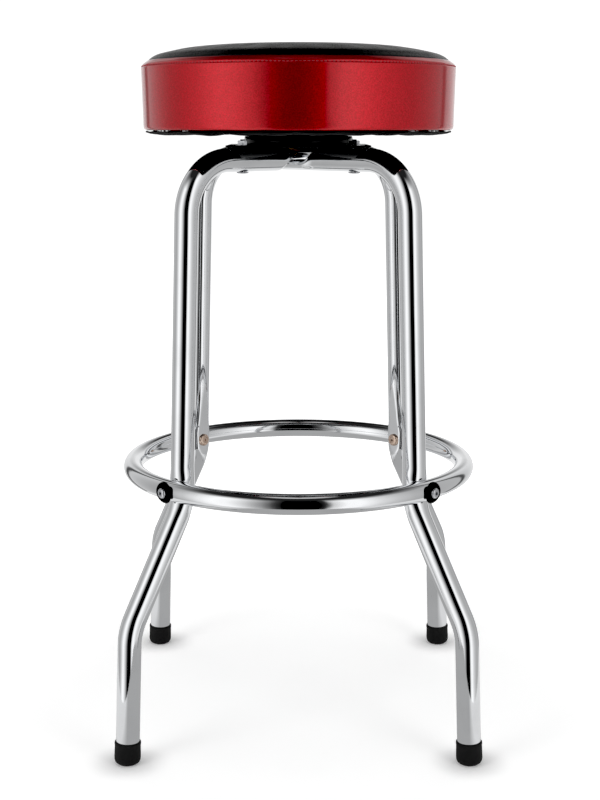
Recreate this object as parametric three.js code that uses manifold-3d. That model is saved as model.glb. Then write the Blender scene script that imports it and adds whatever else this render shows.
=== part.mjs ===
// Swivel bar stool with a foot ring: two bent chromed tube frames crossed under a ball
// swivel, a round foot ring bolted to the four legs, and a padded round seat.
// Millimetres, +Z up, origin on the floor under the swivel axis, front towards -Y.

import * as THREE from 'three';
import { mergeVertices } from 'three/addons/utils/BufferGeometryUtils.js';
import Module from 'manifold-3d';

const wasm = await Module();
wasm.setup();

// ---- Driving dimensions -------------------------------------------------------------

const TOTAL_HEIGHT = 762;
const GAP = 0.3;                      // air left between pieces that touch
const THROUGH = [600, 700];           // heights of a cutter that clears the whole swivel
const SEAT_SIDES = 36;                // facets round the seat
const SWIVEL_SIDES = 36;              // facets round the swivel stampings

// Bent tube frames
const TUBE_R = 12.7;
const TUBE_WALL = 1.5;
const TUBE_SIDES = 12;
const BORE_SIDES = 8;
const BAR_Z = 636;                    // centre line of the crossed top bars
const TOP_BEND_R = 58;
const KNEE_BEND_R = 60;
const RING_LEG_R = 177;               // stool axis to leg centre line, at the foot ring
const LEG_SPLAY = 0.0406;             // outward run of the upper leg per mm of drop
const UPPER_KNEE_Z = 268.7;
const LOWER_KNEE = { r: 252.5, z: 145.7 };
const FOOT = { r: 259.5, z: 3.6 };    // cut end of the tube inside its cap
const CROSS_FLAT = 16;                // half length of the pressed flat at the crossing
const CROSS_BLEND = 34;               // where the pressing has run out
const CROSS_THICK = 12.5;             // height of one pressed tube
const PRESS_WIDENING = 0.1;           // how much wider a pressed tube gets

// Foot ring
const RING_R = 190.6;
const RING_Z = 288.4;
const RING_TUBE_R = 11.1;
const RING_WALL = 1.4;
const RING_STEPS = 48;
const RING_SIDES = 10;
const RING_BORE_SIDES = 6;
const RING_SEAT_CLEARANCE = 0.7;      // between the ring and the saddle pressed in a leg
const LEG_INNER_FACE = 167;           // flattened inner face under the bolt head
const RING_PRESS = [9, 26];           // fully pressed this far from the ring, gone by there
const INNER_FLAT_SLOPE = 0.09;        // how the inner flat runs out along the leg
const INNER_FLAT_LENGTH = 72;

// Foot caps
const CAP_R = 14.2;
const CAP_HEIGHT = 25;
const CAP_FLOOR = 3.2;
const CAP_SOLE = 4;                   // rubber below the tilted cup, trimmed at the floor
const CAP_TREAD_R = 10;               // the flat of the rounded sole

// Bolts of the foot ring, on the radius of each leg
const RING_HOLE_R = 3.3;
const RING_SHANK_R = 2.9;
const RING_HEAD_R = 7.4;
const RING_HEAD_H = 3.2;
const WASHER_R = 11.8;
const WASHER_THICK = 1.9;
const WASHER_BEND_R = 42;             // how the rubber is drawn round the tube of the ring
const BUTTON_R = 5.6;
const BUTTON_H = 3.2;
const BARREL_R = 4.2;
const SOCKET = { r: 1.8, deep: 2 };   // drive recess of the button head

// Swivel
const LOWER_PLATE = { side: 156, corner: 10, bottom: 649, thick: 2.3 };
const UPPER_PLATE = { side: 146, corner: 14, bottom: 664.6, thick: 2.3 };
const SWIVEL_BORE_R = 22;
const BALL_R = 3.175;
const BALL_COUNT = 12;
const BALL_CIRCLE_R = 48;
const BALL_Z = 655.2;
const GROOVE_R = 3.55;
const CAGE_THICK = 1.2;
const CAGE_HALF_WIDTH = 5;
const RACE_FACE = 1.3;                // race faces above and below the ball centres
const RACE = { r: 56, open: 52, inner: 40, foot: 38 };      // lower race, and its plate's opening
const DISH = { rim: 57.9, rimHeight: 2.7, neck: 54.8, skirt: 69, open: 70.5, deep: 4.6 };
const CROWN = { r: 60, wall: 1.4, inner: 55.6, foot: 56.4, sheet: 1.2 };  // retaining ring
const PLATE_BOLT_XY = 60;
const PLATE_HOLE_R = 3.4;
const PLATE_BOLT = { r: 2.9, head: 6.6, headHeight: 1.8, above: 6.4 };
const NUT = { r: 5.8, height: 4.8, bore: 3.2 };
const SEAT_SCREW_XY = 63;
const SCREW_HOLE_R = 2.9;
const SEAT_SCREW = { r: 2.3, head: 5, headHeight: 2.4, pilot: 2.7 };

// Seat
const SEAT_LIP = { r: 173, z: 734.6 };
const SEAT_SHOULDER = { r: 171.5, z: 739.6 };
const SEAT_SEAM = { r: 165.5, z: 741 };
const DOME_EDGE = { r: 158, z: 757 };  // steers the dome's steep edge
const DOME_CROWN_R = 90;              // and its flat middle
const SEAT_BOTTOM = 667;
const SEAT_SIDE_R = 171.5;
const SKIN = 1.5;
const HEM_R = 150;
const BOARD = { r: 167.5, bottom: 668.8, thick: 15 };
const DUST = { r: 167, hole: 40, thick: 1.2, flat: 136, draped: 147 };

// ---- Finishes -----------------------------------------------------------------------

function finish(color, roughness, metalness) {
  return () => new THREE.MeshStandardMaterial({ color, roughness, metalness });
}

const chrome = finish(0xd9dcdf, 0.08, 1);
const blackVinyl = finish(0x0b0b0c, 0.35, 0);
const redVinyl = finish(0xb3202c, 0.38, 0);
const foam = finish(0xe6d8a6, 0.95, 0);
const plywood = finish(0xc8a26a, 0.8, 0);
const blackCloth = finish(0x131313, 0.95, 0);
const blackSteel = finish(0x16171a, 0.4, 0.6);
const zincSteel = finish(0xbfc2c6, 0.3, 1);
const bearingSteel = finish(0xc6cace, 0.15, 1);
const copperSteel = finish(0xb08a70, 0.3, 1);
const rubber = finish(0x101010, 0.8, 0);

// ---- Solids -------------------------------------------------------------------------

// A closed geometry as a solid: shared corners merged, collapsed triangles dropped and
// the faces turned outwards.
function solid(geometry) {
  const bare = geometry.clone();
  bare.deleteAttribute('normal');
  bare.deleteAttribute('uv');
  const merged = mergeVertices(bare, 1e-4);
  const positions = merged.attributes.position.array;
  const index = merged.index.array;
  const triangles = [];
  let volume = 0;
  for (let i = 0; i < index.length; i += 3) {
    const [a, b, c] = [index[i], index[i + 1], index[i + 2]];
    if (a === b || b === c || c === a) continue;
    triangles.push([a, b, c]);
    volume += corner(positions, a).dot(corner(positions, b).cross(corner(positions, c)));
  }
  const faces = volume < 0 ? triangles.map(([a, b, c]) => [a, c, b]) : triangles;
  return new wasm.Manifold(new wasm.Mesh({
    numProp: 3,
    vertProperties: new Float32Array(positions),
    triVerts: new Uint32Array(faces.flat()),
  }));
}

function corner(positions, i) {
  return new THREE.Vector3(positions[3 * i], positions[3 * i + 1], positions[3 * i + 2]);
}

function geometryOf(body) {
  const { vertProperties, triVerts } = body.getMesh();
  const geometry = new THREE.BufferGeometry();
  geometry.setAttribute('position', new THREE.BufferAttribute(vertProperties, 3));
  geometry.setIndex(new THREE.BufferAttribute(triVerts, 1));
  geometry.computeVertexNormals();
  return geometry;
}

function part(name, body, material) {
  const mesh = new THREE.Mesh(geometryOf(body), material());
  mesh.name = name;
  return mesh;
}

// A profile of [radius, height] points turned round the vertical axis. A profile that
// doesn't begin and end on the axis closes on itself.
function turned(profile, sides) {
  const points = profile.map(([r, z]) => new THREE.Vector2(r, z));
  if (profile[0][0] > 0) points.push(points[0].clone());
  return solid(new THREE.LatheGeometry(points, sides).rotateX(Math.PI / 2));
}

// An upright cylinder between two heights.
function post(radius, bottom, top, sides = 12, x = 0, y = 0) {
  const geometry = new THREE.CylinderGeometry(radius, radius, top - bottom, sides);
  geometry.rotateX(Math.PI / 2).translate(x, y, (top + bottom) / 2);
  return solid(geometry);
}

// A cylinder along +X between two distances from the axis, at one height.
function rod(radius, near, far, height, sides = 12) {
  const geometry = new THREE.CylinderGeometry(radius, radius, far - near, sides);
  geometry.rotateZ(Math.PI / 2).translate((near + far) / 2, 0, height);
  return solid(geometry);
}

// A square plate with round corners.
function plate({ side, corner: radius, bottom, thick }) {
  const half = side / 2;
  const outline = new THREE.Shape();
  for (let i = 0; i < 4; i++) {
    const start = i * Math.PI / 2;
    const x = (half - radius) * (i === 0 || i === 3 ? 1 : -1);
    const y = (half - radius) * (i < 2 ? 1 : -1);
    outline.absarc(x, y, radius, start, start + Math.PI / 2);
  }
  const geometry = new THREE.ExtrudeGeometry(outline, {
    depth: thick, bevelEnabled: false, curveSegments: 4,
  });
  return solid(geometry.translate(0, 0, bottom));
}

function arcPoints(r, z, radius, from, to, steps) {
  return Array.from({ length: steps + 1 }, (_, i) => {
    const angle = from + (to - from) * i / steps;
    return [r + radius * Math.cos(angle), z + radius * Math.sin(angle)];
  });
}

// ---- Bent tube frames ---------------------------------------------------------------

// Adds a straight run and then a bend of the given radius at the next corner.
function bend(path, before, at, after, radius) {
  const into = at.clone().sub(before).normalize();
  const out = after.clone().sub(at).normalize();
  const turn = Math.acos(into.dot(out));
  const tangent = radius * Math.tan(turn / 2);
  const handle = radius * 4 / 3 * Math.tan(turn / 4);
  const start = at.clone().addScaledVector(into, -tangent);
  const end = at.clone().addScaledVector(out, tangent);
  const first = start.clone().addScaledVector(into, handle);
  const second = end.clone().addScaledVector(out, -handle);
  path.lineTo(start.x, start.y);
  path.bezierCurveTo(first.x, first.y, second.x, second.y, end.x, end.y);
}

// The centre line of one frame in its own upright plane: foot, two knees, a round
// corner, the top bar, and the same down the other side.
function frameLine() {
  const legAt = (z) => RING_LEG_R + LEG_SPLAY * (RING_Z - z);
  const side = [
    new THREE.Vector2(FOOT.r, FOOT.z),
    new THREE.Vector2(LOWER_KNEE.r, LOWER_KNEE.z),
    new THREE.Vector2(legAt(UPPER_KNEE_Z), UPPER_KNEE_Z),
    new THREE.Vector2(legAt(BAR_Z), BAR_Z),
  ];
  const mirrored = side.map((p) => new THREE.Vector2(-p.x, p.y)).reverse();
  const corners = [...side, ...mirrored];
  const radii = [0, KNEE_BEND_R, KNEE_BEND_R, TOP_BEND_R];
  const path = new THREE.Path();
  path.moveTo(corners[0].x, corners[0].y);
  for (let i = 1; i < corners.length - 1; i++) {
    const radius = radii[Math.min(i, corners.length - 1 - i)];
    bend(path, corners[i - 1], corners[i], corners[i + 1], radius);
  }
  path.lineTo(corners.at(-1).x, corners.at(-1).y);
  return path;
}

// Stations along a frame: close together where the tube bends or is pressed, and none
// in between on its straight runs.
function stationsOf(path) {
  const length = path.getLength();
  const stations = [0];
  for (let travelled = 1; travelled < length - 2; travelled++) {
    const here = path.getPoint(travelled / length);
    const since = travelled - stations.at(-1) * length;
    if (since >= stepAt(Math.abs(here.x), here.y)) stations.push(travelled / length);
  }
  stations.push(1);
  return stations;
}

function stepAt(r, z) {
  if (Math.abs(z - RING_Z) < 13) return 4;
  if (Math.abs(z - RING_Z) < 28) return 7;
  if (z > RING_Z && z < RING_Z + INNER_FLAT_LENGTH) return 12;
  if (z > BAR_Z - 0.01) return r < CROSS_BLEND + 1 ? 7 : Infinity;
  if (z > BAR_Z - TOP_BEND_R) return 11;
  if (Math.abs(z - UPPER_KNEE_Z) < 14 || Math.abs(z - LOWER_KNEE.z) < 15) return 9;
  return Infinity;
}

// The centre line as a curve whose evenly numbered points are the chosen stations.
class StationCurve extends THREE.Curve {
  constructor(path, stations, overrun) {
    super();
    this.path = path;
    this.stations = stations;
    this.overrun = overrun;
  }

  getPointAt(u) {
    const at = this.stations[Math.round(u * (this.stations.length - 1))];
    const point = this.path.getPoint(at);
    const past = at === 0 || at === 1 ? this.overrun : 0;
    return new THREE.Vector3(point.x, 0, point.y - past);
  }

  getTangentAt(u) {
    const at = this.stations[Math.round(u * (this.stations.length - 1))];
    const tangent = this.path.getTangent(at);
    return new THREE.Vector3(tangent.x, 0, tangent.y);
  }
}

function ramp(value, from, to) {
  return THREE.MathUtils.smoothstep(value, from, to);
}

// Presses a bar flat where the two frames cross: side is +1 for the frame that passes
// over the other, -1 for the one below.
function pressCrossing(point, side, wall) {
  if (point.z < BAR_Z - TUBE_R - 1) return;
  const pressed = 1 - ramp(Math.abs(point.x), CROSS_FLAT, CROSS_BLEND);
  const kept = side * (TUBE_R - wall);
  const height = (CROSS_THICK - 2 * wall) / (2 * (TUBE_R - wall));
  const local = point.z - BAR_Z;
  const flat = kept - (kept - local) * height;
  point.z = BAR_Z + THREE.MathUtils.lerp(local, flat, pressed);
  point.y *= 1 + PRESS_WIDENING * pressed;
}

// Presses the saddle that the foot ring sits in, and the flat under the bolt head.
function pressRingSeat(point, wall) {
  const drop = Math.abs(point.z - RING_Z);
  if (drop > INNER_FLAT_LENGTH) return;
  const pressed = 1 - ramp(drop, ...RING_PRESS);
  const sign = Math.sign(point.x);
  point.y *= 1 + PRESS_WIDENING * pressed;
  const floor = LEG_INNER_FACE + wall - INNER_FLAT_SLOPE * Math.max(0, drop - RING_PRESS[0]);
  let r = Math.max(Math.abs(point.x), floor);
  const clear = RING_TUBE_R + RING_SEAT_CLEARANCE;
  if (drop < clear) {
    const reach = RING_R - Math.sqrt(clear ** 2 - drop ** 2);
    r = Math.min(r, Math.sqrt(reach ** 2 - point.y ** 2) - wall);
  }
  point.x = sign * r;
}

function frameSkin(path, stations, side, radius, sides, wall, overrun) {
  const section = Array.from({ length: sides }, (_, i) => new THREE.Vector2(
    radius * Math.cos(2 * Math.PI * i / sides), radius * Math.sin(2 * Math.PI * i / sides)));
  const geometry = new THREE.ExtrudeGeometry(new THREE.Shape(section), {
    steps: stations.length - 1,
    extrudePath: new StationCurve(path, stations, overrun),
  });
  const positions = geometry.attributes.position;
  const point = new THREE.Vector3();
  for (let i = 0; i < positions.count; i++) {
    point.fromBufferAttribute(positions, i);
    pressCrossing(point, side, wall);
    pressRingSeat(point, wall);
    positions.setXYZ(i, point.x, point.y, point.z);
  }
  return solid(geometry);
}

function legFrame(side) {
  const path = frameLine();
  const stations = stationsOf(path);
  const skin = frameSkin(path, stations, side, TUBE_R, TUBE_SIDES, 0, 0);
  const bore = frameSkin(
    path, stations, side, TUBE_R - TUBE_WALL, BORE_SIDES, TUBE_WALL, TUBE_WALL);
  const reach = RING_R + RING_TUBE_R;
  const ringHole = rod(RING_HOLE_R, -reach, reach, RING_Z, 8);
  const boltRadius = PLATE_BOLT_XY * Math.SQRT2;
  let frame = skin.subtract(bore).subtract(ringHole);
  for (const x of [-boltRadius, boltRadius]) {
    frame = frame.subtract(post(RING_HOLE_R, BAR_Z - 20, BAR_Z + 20, 8, x));
  }
  return frame;
}

// ---- Foot ring, caps and bolts ------------------------------------------------------

function torus(tubeRadius, sides, steps) {
  const geometry = new THREE.TorusGeometry(RING_R, tubeRadius, sides, steps);
  return solid(geometry.translate(0, 0, RING_Z));
}

function footRing() {
  const bore = torus(RING_TUBE_R - RING_WALL, RING_BORE_SIDES, RING_STEPS);
  let ring = torus(RING_TUBE_R, RING_SIDES, RING_STEPS).subtract(bore);
  const hole = rod(BARREL_R + GAP, RING_R - 2 * RING_TUBE_R, RING_R + 2 * RING_TUBE_R, RING_Z, 8);
  for (let i = 0; i < 4; i++) {
    ring = ring.subtract(hole.rotate([0, 0, 45 + 90 * i]));
  }
  return ring;
}

// A rubber cup in line with the leg, trimmed level with the floor.
function footCap() {
  const bore = TUBE_R + GAP;
  const profile = [
    [0, -CAP_SOLE], [CAP_TREAD_R - 2, -CAP_SOLE], [CAP_TREAD_R, 0],
    [CAP_R - 1.3, 2.3], [CAP_R - 0.3, 4.6], [CAP_R, 7], [CAP_R - 0.3, CAP_HEIGHT - 1],
    [CAP_R - 0.7, CAP_HEIGHT], [bore, CAP_HEIGHT], [bore, CAP_FLOOR], [0, CAP_FLOOR],
  ];
  const tilt = Math.atan2(FOOT.r - LOWER_KNEE.r, LOWER_KNEE.z - FOOT.z);
  const cup = turned(profile, 16);
  const leaning = cup.rotate([0, -THREE.MathUtils.radToDeg(tilt), 0]);
  const under = new THREE.BoxGeometry(4 * CAP_R, 4 * CAP_R, 20).translate(0, 0, -10);
  return leaning.subtract(solid(under)).translate([footRadiusAt(0), 0, 0]);
}

function footRadiusAt(z) {
  const run = (FOOT.r - LOWER_KNEE.r) / (LOWER_KNEE.z - FOOT.z);
  return FOOT.r + run * (FOOT.z - z);
}

// A turned fastener profile of [radius, distance] points, laid along the leg's radius.
function radial(profile, sides) {
  return turned(profile, sides).rotate([0, 90, 0]).translate([0, 0, RING_Z]);
}

const NUT_FACE = RING_R + RING_TUBE_R + WASHER_THICK + 2 * GAP;

function ringBolt() {
  const face = LEG_INNER_FACE - GAP;
  const tip = NUT_FACE - 4;
  const head = face - RING_HEAD_H;
  return radial([
    [0, head + 1.2], [1.6, head + 1.2], [2.2, head], [RING_HEAD_R - 2, head],
    [RING_HEAD_R, face - 0.8], [RING_HEAD_R, face], [RING_SHANK_R, face],
    [RING_SHANK_R, tip], [0, tip],
  ], 10);
}

function ringCapNut() {
  const out = NUT_FACE + BUTTON_H;
  const bore = RING_SHANK_R + GAP;
  return radial([
    [0, NUT_FACE - 1], [bore, NUT_FACE - 1], [bore, RING_R - 8], [BARREL_R, RING_R - 8],
    [BARREL_R, NUT_FACE], [BUTTON_R, NUT_FACE], [BUTTON_R, NUT_FACE + 1.2],
    [BUTTON_R - 2.2, out], [SOCKET.r, out], [SOCKET.r, out - SOCKET.deep],
    [0, out - SOCKET.deep],
  ], 8);
}

// A rubber washer that the nut draws a little round the tube of the foot ring.
function saddleWasher() {
  const outside = RING_R + 2 * RING_TUBE_R;
  const disc = rod(WASHER_R, RING_R, outside, RING_Z, 20);
  const hole = rod(BARREL_R + GAP, RING_R, outside, RING_Z, 8);
  const outer = washerFace(WASHER_THICK);
  return outer.subtract(washerFace(0)).intersect(disc).subtract(hole);
}

// A cylinder along the tube of the ring whose far side is a face of the washer.
function washerFace(height) {
  const radius = WASHER_BEND_R + height;
  const geometry = new THREE.CylinderGeometry(radius, radius, 4 * WASHER_R, 64);
  const far = RING_R + RING_TUBE_R + GAP + height;
  return solid(geometry.translate(far - radius, 0, RING_Z));
}

function plateBolt() {
  const x = PLATE_BOLT_XY * Math.SQRT2;
  const under = BAR_Z - TUBE_R - GAP;
  const { r, head, headHeight, above } = PLATE_BOLT;
  const top = LOWER_PLATE.bottom + LOWER_PLATE.thick + above;
  return turned([
    [0, under - headHeight], [0.6 * head, under - 0.9 * headHeight],
    [head, under - 0.3 * headHeight], [head, under], [r, under], [r, top], [0, top],
  ], 10).translate([x, 0, 0]);
}

function plateNut() {
  const bottom = LOWER_PLATE.bottom + LOWER_PLATE.thick + GAP;
  const x = PLATE_BOLT_XY * Math.SQRT2;
  return post(NUT.r, bottom, bottom + NUT.height, 6, x).subtract(post(NUT.bore, ...THROUGH, 8, x));
}

// ---- Swivel -------------------------------------------------------------------------

function groove(side) {
  const reach = Math.asin(RACE_FACE / GROOVE_R);
  const from = side > 0 ? Math.PI - reach : reach - Math.PI;
  return arcPoints(BALL_CIRCLE_R, BALL_Z, GROOVE_R, from, side > 0 ? reach : -reach, 5);
}

function swivelLowerPlate() {
  const { bottom, thick } = LOWER_PLATE;
  const face = BALL_Z - RACE_FACE;
  const race = turned([
    [SWIVEL_BORE_R, bottom], [RACE.r, bottom], [RACE.r, face], ...groove(-1).reverse(),
    [RACE.inner, face], [RACE.foot, bottom + thick], [SWIVEL_BORE_R, bottom + thick],
  ], SWIVEL_SIDES);
  const opening = post(RACE.open, ...THROUGH, SWIVEL_SIDES);
  let body = plate(LOWER_PLATE).subtract(opening).add(race);
  for (const [x, y] of squareCorners(PLATE_BOLT_XY)) {
    body = body.subtract(post(PLATE_HOLE_R, ...THROUGH, 8, x, y));
  }
  return body;
}

// A square flange, and inside it a dish that flares down to the rim held by the
// retaining ring, with the upper ball groove on its underside.
function swivelUpperPlate() {
  const { bottom, thick } = UPPER_PLATE;
  const face = BALL_Z + RACE_FACE;
  const rim = face + DISH.rimHeight;
  const well = face + DISH.deep;
  const dish = turned([
    [SWIVEL_BORE_R, face], ...groove(1), [DISH.rim, face], [DISH.rim, rim],
    [DISH.neck, rim], [DISH.neck, rim + 2.2], [DISH.skirt, bottom],
    [DISH.open + 1.5, bottom], [DISH.open + 1.5, bottom + thick],
    [DISH.skirt - 1.6, bottom + thick], [DISH.neck - 2.4, well + 2.6],
    [DISH.neck - 2.4, well], [SWIVEL_BORE_R, well],
  ], SWIVEL_SIDES);
  const opening = post(DISH.open, ...THROUGH, SWIVEL_SIDES);
  let body = plate(UPPER_PLATE).subtract(opening).add(dish);
  for (const [x, y] of squareCorners(SEAT_SCREW_XY)) {
    body = body.subtract(post(SCREW_HOLE_R, ...THROUGH, 8, x, y));
  }
  return body;
}

// The ring that is crimped over the upper race and keeps the swivel together.
function retainingRing() {
  const { r, wall, inner, foot, sheet } = CROWN;
  const base = LOWER_PLATE.bottom + LOWER_PLATE.thick + GAP;
  const lip = BALL_Z + RACE_FACE + DISH.rimHeight + 0.4;
  return turned([
    [foot, base], [r, base], [r, lip], [r - 1, lip + sheet], [inner, lip + sheet],
    [inner, lip], [r - wall, lip], [r - wall, base + sheet], [foot, base + sheet],
  ], SWIVEL_SIDES);
}

function bearingCage() {
  const low = BALL_Z - CAGE_THICK / 2;
  const high = BALL_Z + CAGE_THICK / 2;
  const [near, far] = [BALL_CIRCLE_R - CAGE_HALF_WIDTH, BALL_CIRCLE_R + CAGE_HALF_WIDTH];
  let cage = turned([[near, low], [far, low], [far, high], [near, high]], SWIVEL_SIDES);
  const pocket = post(GROOVE_R, low - 1, high + 1, 8, BALL_CIRCLE_R);
  for (let i = 0; i < BALL_COUNT; i++) {
    cage = cage.subtract(pocket.rotate([0, 0, 360 * i / BALL_COUNT]));
  }
  return cage;
}

function squareCorners(xy) {
  return [[xy, -xy], [xy, xy], [-xy, xy], [-xy, -xy]];
}

// ---- Seat ---------------------------------------------------------------------------

// The dome of the seat from its seam to the axis, drawn in by a depth.
function domeProfile(depth) {
  const dome = new THREE.Path();
  const top = TOTAL_HEIGHT - depth;
  dome.moveTo(SEAT_SEAM.r, SEAT_SEAM.z - depth);
  dome.bezierCurveTo(DOME_EDGE.r, DOME_EDGE.z - depth, DOME_CROWN_R, top, 0, top);
  return dome.getPoints(6).map((p) => [Math.max(p.x, 0), p.y]);
}

function seatTopCover() {
  const outside = domeProfile(0);
  const inside = domeProfile(SKIN).reverse();
  return turned([...inside, ...outside], SEAT_SIDES);
}

// The side of the seat as an outline of the band, drawn in by a depth: from the seam
// over the rounded shoulder and down the side.
function sideProfile(depth) {
  const side = new THREE.Path();
  side.moveTo(SEAT_SEAM.r + GAP, SEAT_SEAM.z - GAP - depth);
  side.quadraticCurveTo(
    SEAT_SHOULDER.r - depth, SEAT_SHOULDER.z - depth, SEAT_LIP.r - depth, SEAT_LIP.z);
  side.lineTo(SEAT_SIDE_R - depth, SEAT_BOTTOM + 4);
  return side.getPoints(3).map((p) => [p.x, p.y]);
}

function seatSideBand() {
  const corner = SEAT_SIDE_R - 3.5;
  return turned([
    ...sideProfile(0), [SEAT_SIDE_R - 1, SEAT_BOTTOM + 1], [corner, SEAT_BOTTOM],
    [HEM_R, SEAT_BOTTOM], [HEM_R, SEAT_BOTTOM + SKIN], [corner, SEAT_BOTTOM + SKIN],
    ...sideProfile(SKIN).reverse(),
  ], SEAT_SIDES);
}

function seatFoam() {
  const inset = SKIN + 2 * GAP;
  const floor = BOARD.bottom + BOARD.thick + GAP;
  const side = sideProfile(inset).slice(0, -1).reverse();
  const dome = domeProfile(inset).filter(([r]) => r < SEAT_SEAM.r - 1);
  return turned([[0, floor], [SEAT_SIDE_R - inset, floor], ...side, ...dome], SEAT_SIDES);
}

function seatBoard() {
  const { r, bottom, thick } = BOARD;
  let board = post(r, bottom, bottom + thick, SEAT_SIDES);
  for (const [x, y] of squareCorners(SEAT_SCREW_XY)) {
    board = board.subtract(post(SEAT_SCREW.pilot, ...THROUGH, 8, x, y));
  }
  return board;
}

// The black cloth under the seat: flat on the board, and over the hem at its edge.
function dustCover() {
  const { r, hole, thick, flat, draped } = DUST;
  const high = BOARD.bottom - GAP;
  const low = SEAT_BOTTOM - GAP;
  let cloth = turned([
    [hole, high], [flat, high], [draped, low], [r, low], [r, low - thick],
    [draped - 1, low - thick], [flat - 1, high - thick], [hole, high - thick],
  ], SEAT_SIDES);
  for (const [x, y] of squareCorners(SEAT_SCREW_XY)) {
    cloth = cloth.subtract(post(SCREW_HOLE_R + GAP, ...THROUGH, 8, x, y));
  }
  return cloth;
}

function seatScrew() {
  const face = UPPER_PLATE.bottom - GAP;
  const tip = BOARD.bottom + BOARD.thick - 3;
  const x = SEAT_SCREW_XY * Math.SQRT2;
  const { r, head, headHeight } = SEAT_SCREW;
  return turned([
    [0, face - headHeight], [0.6 * head, face - 0.9 * headHeight],
    [head, face - 0.25 * headHeight], [head, face], [r, face], [r, tip - 4], [0, tip],
  ], 10).translate([x, 0, 0]);
}

// ---- Assembly -----------------------------------------------------------------------

const QUARTERS = ['front_right', 'back_right', 'back_left', 'front_left'];

function quarterGroup(index, meshes) {
  const group = new THREE.Group();
  group.rotation.z = (2 * index - 1) * Math.PI / 4;
  group.add(...meshes);
  return group;
}

function standAssembly() {
  const stand = new THREE.Group();
  const over = part('leg_frame_upper', legFrame(1), chrome);
  const beneath = part('leg_frame_lower', legFrame(-1), chrome);
  over.rotation.z = Math.PI / 4;
  beneath.rotation.z = -Math.PI / 4;
  stand.add(over, beneath, part('foot_ring', footRing(), chrome));
  QUARTERS.forEach((where, i) => {
    stand.add(quarterGroup(i, [
      part(`foot_cap_${where}`, footCap(), rubber),
      part(`ring_bolt_${where}`, ringBolt(), copperSteel),
      part(`ring_cap_nut_${where}`, ringCapNut(), zincSteel),
      part(`ring_washer_${where}`, saddleWasher(), rubber),
      part(`plate_bolt_${where}`, plateBolt(), zincSteel),
      part(`plate_nut_${where}`, plateNut(), zincSteel),
    ]));
  });
  stand.add(part('swivel_lower_plate', swivelLowerPlate(), blackSteel));
  stand.add(part('swivel_retaining_ring', retainingRing(), blackSteel));
  return stand;
}

function bearingAssembly() {
  const bearing = new THREE.Group();
  bearing.add(part('bearing_cage', bearingCage(), zincSteel));
  const ball = solid(new THREE.IcosahedronGeometry(BALL_R, 1));
  for (let i = 0; i < BALL_COUNT; i++) {
    const mesh = part(`bearing_ball_${i + 1}`, ball, bearingSteel);
    const angle = 2 * Math.PI * i / BALL_COUNT;
    mesh.position.set(
      BALL_CIRCLE_R * Math.cos(angle), BALL_CIRCLE_R * Math.sin(angle), BALL_Z);
    bearing.add(mesh);
  }
  return bearing;
}

function seatAssembly() {
  const seat = new THREE.Group();
  seat.add(
    part('seat_top_cover', seatTopCover(), blackVinyl),
    part('seat_side_band', seatSideBand(), redVinyl),
    part('seat_foam', seatFoam(), foam),
    part('seat_board', seatBoard(), plywood),
    part('seat_dust_cover', dustCover(), blackCloth),
    part('swivel_upper_plate', swivelUpperPlate(), blackSteel),
  );
  QUARTERS.forEach((where, i) => {
    seat.add(quarterGroup(i, [part(`seat_screw_${where}`, seatScrew(), zincSteel)]));
  });
  return seat;
}

const stool = new THREE.Group();
stool.add(standAssembly(), bearingAssembly(), seatAssembly());

export default stool;
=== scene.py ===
"""Visual model of a swivel bar stool with a foot ring.

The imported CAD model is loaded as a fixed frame. Every sub-assembly is a class that holds
its sizes, models its pieces around that frame and dresses them in its finishes. Metres,
+Z up, the front of the stool towards -Y.
"""

import logging
import math
from collections.abc import Callable, Iterator, Sequence
from contextlib import contextmanager
from dataclasses import dataclass
from enum import Enum
from itertools import pairwise

import bmesh
import bpy
import numpy as np
from mathutils import Matrix, Vector, noise


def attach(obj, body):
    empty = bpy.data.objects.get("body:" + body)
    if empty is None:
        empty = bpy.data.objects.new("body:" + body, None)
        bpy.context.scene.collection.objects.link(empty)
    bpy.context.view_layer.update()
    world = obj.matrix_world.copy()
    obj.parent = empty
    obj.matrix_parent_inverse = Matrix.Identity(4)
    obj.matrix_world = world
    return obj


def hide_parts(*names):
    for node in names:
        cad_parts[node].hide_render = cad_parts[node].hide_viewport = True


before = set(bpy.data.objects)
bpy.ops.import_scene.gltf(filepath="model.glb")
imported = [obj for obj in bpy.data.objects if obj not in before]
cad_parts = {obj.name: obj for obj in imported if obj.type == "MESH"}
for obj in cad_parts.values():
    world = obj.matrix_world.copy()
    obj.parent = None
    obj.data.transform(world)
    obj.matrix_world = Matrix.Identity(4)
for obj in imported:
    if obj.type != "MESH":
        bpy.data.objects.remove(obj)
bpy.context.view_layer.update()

LOG = logging.getLogger("stool")
Profile = Sequence[tuple[float, float]]


class Body(Enum):
    """The rigid bodies of the stool."""

    FRAME = "frame"
    CAGE = "ball_cage"
    SEAT = "seat"


class Slot(Enum):
    """The record's material slots."""

    CHROME = "chrome_tube"
    BLACK_STEEL = "black_steel"
    ZINC = "zinc_steel"
    TINTED = "tinted_steel"
    BALL = "bearing_steel"
    RUBBER = "black_rubber"
    BLACK_VINYL = "black_vinyl"
    RED_VINYL = "red_vinyl"
    FOAM = "foam"
    PLYWOOD = "plywood"
    CLOTH = "black_cloth"


class Leg(Enum):
    """The four legs, by the azimuth of each in degrees."""

    FRONT_RIGHT = -45
    BACK_RIGHT = 45
    BACK_LEFT = 135
    FRONT_LEFT = -135

    @property
    def suffix(self) -> str:
        """The end of the names of this leg's pieces."""
        return self.name.lower()


class Pick(Enum):
    """What a selection in edit mode is made of."""

    VERT = "VERT"
    EDGE = "EDGE"
    FACE = "FACE"


# ---- The bench: modelling by hand, in code ---------------------------------------------


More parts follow.
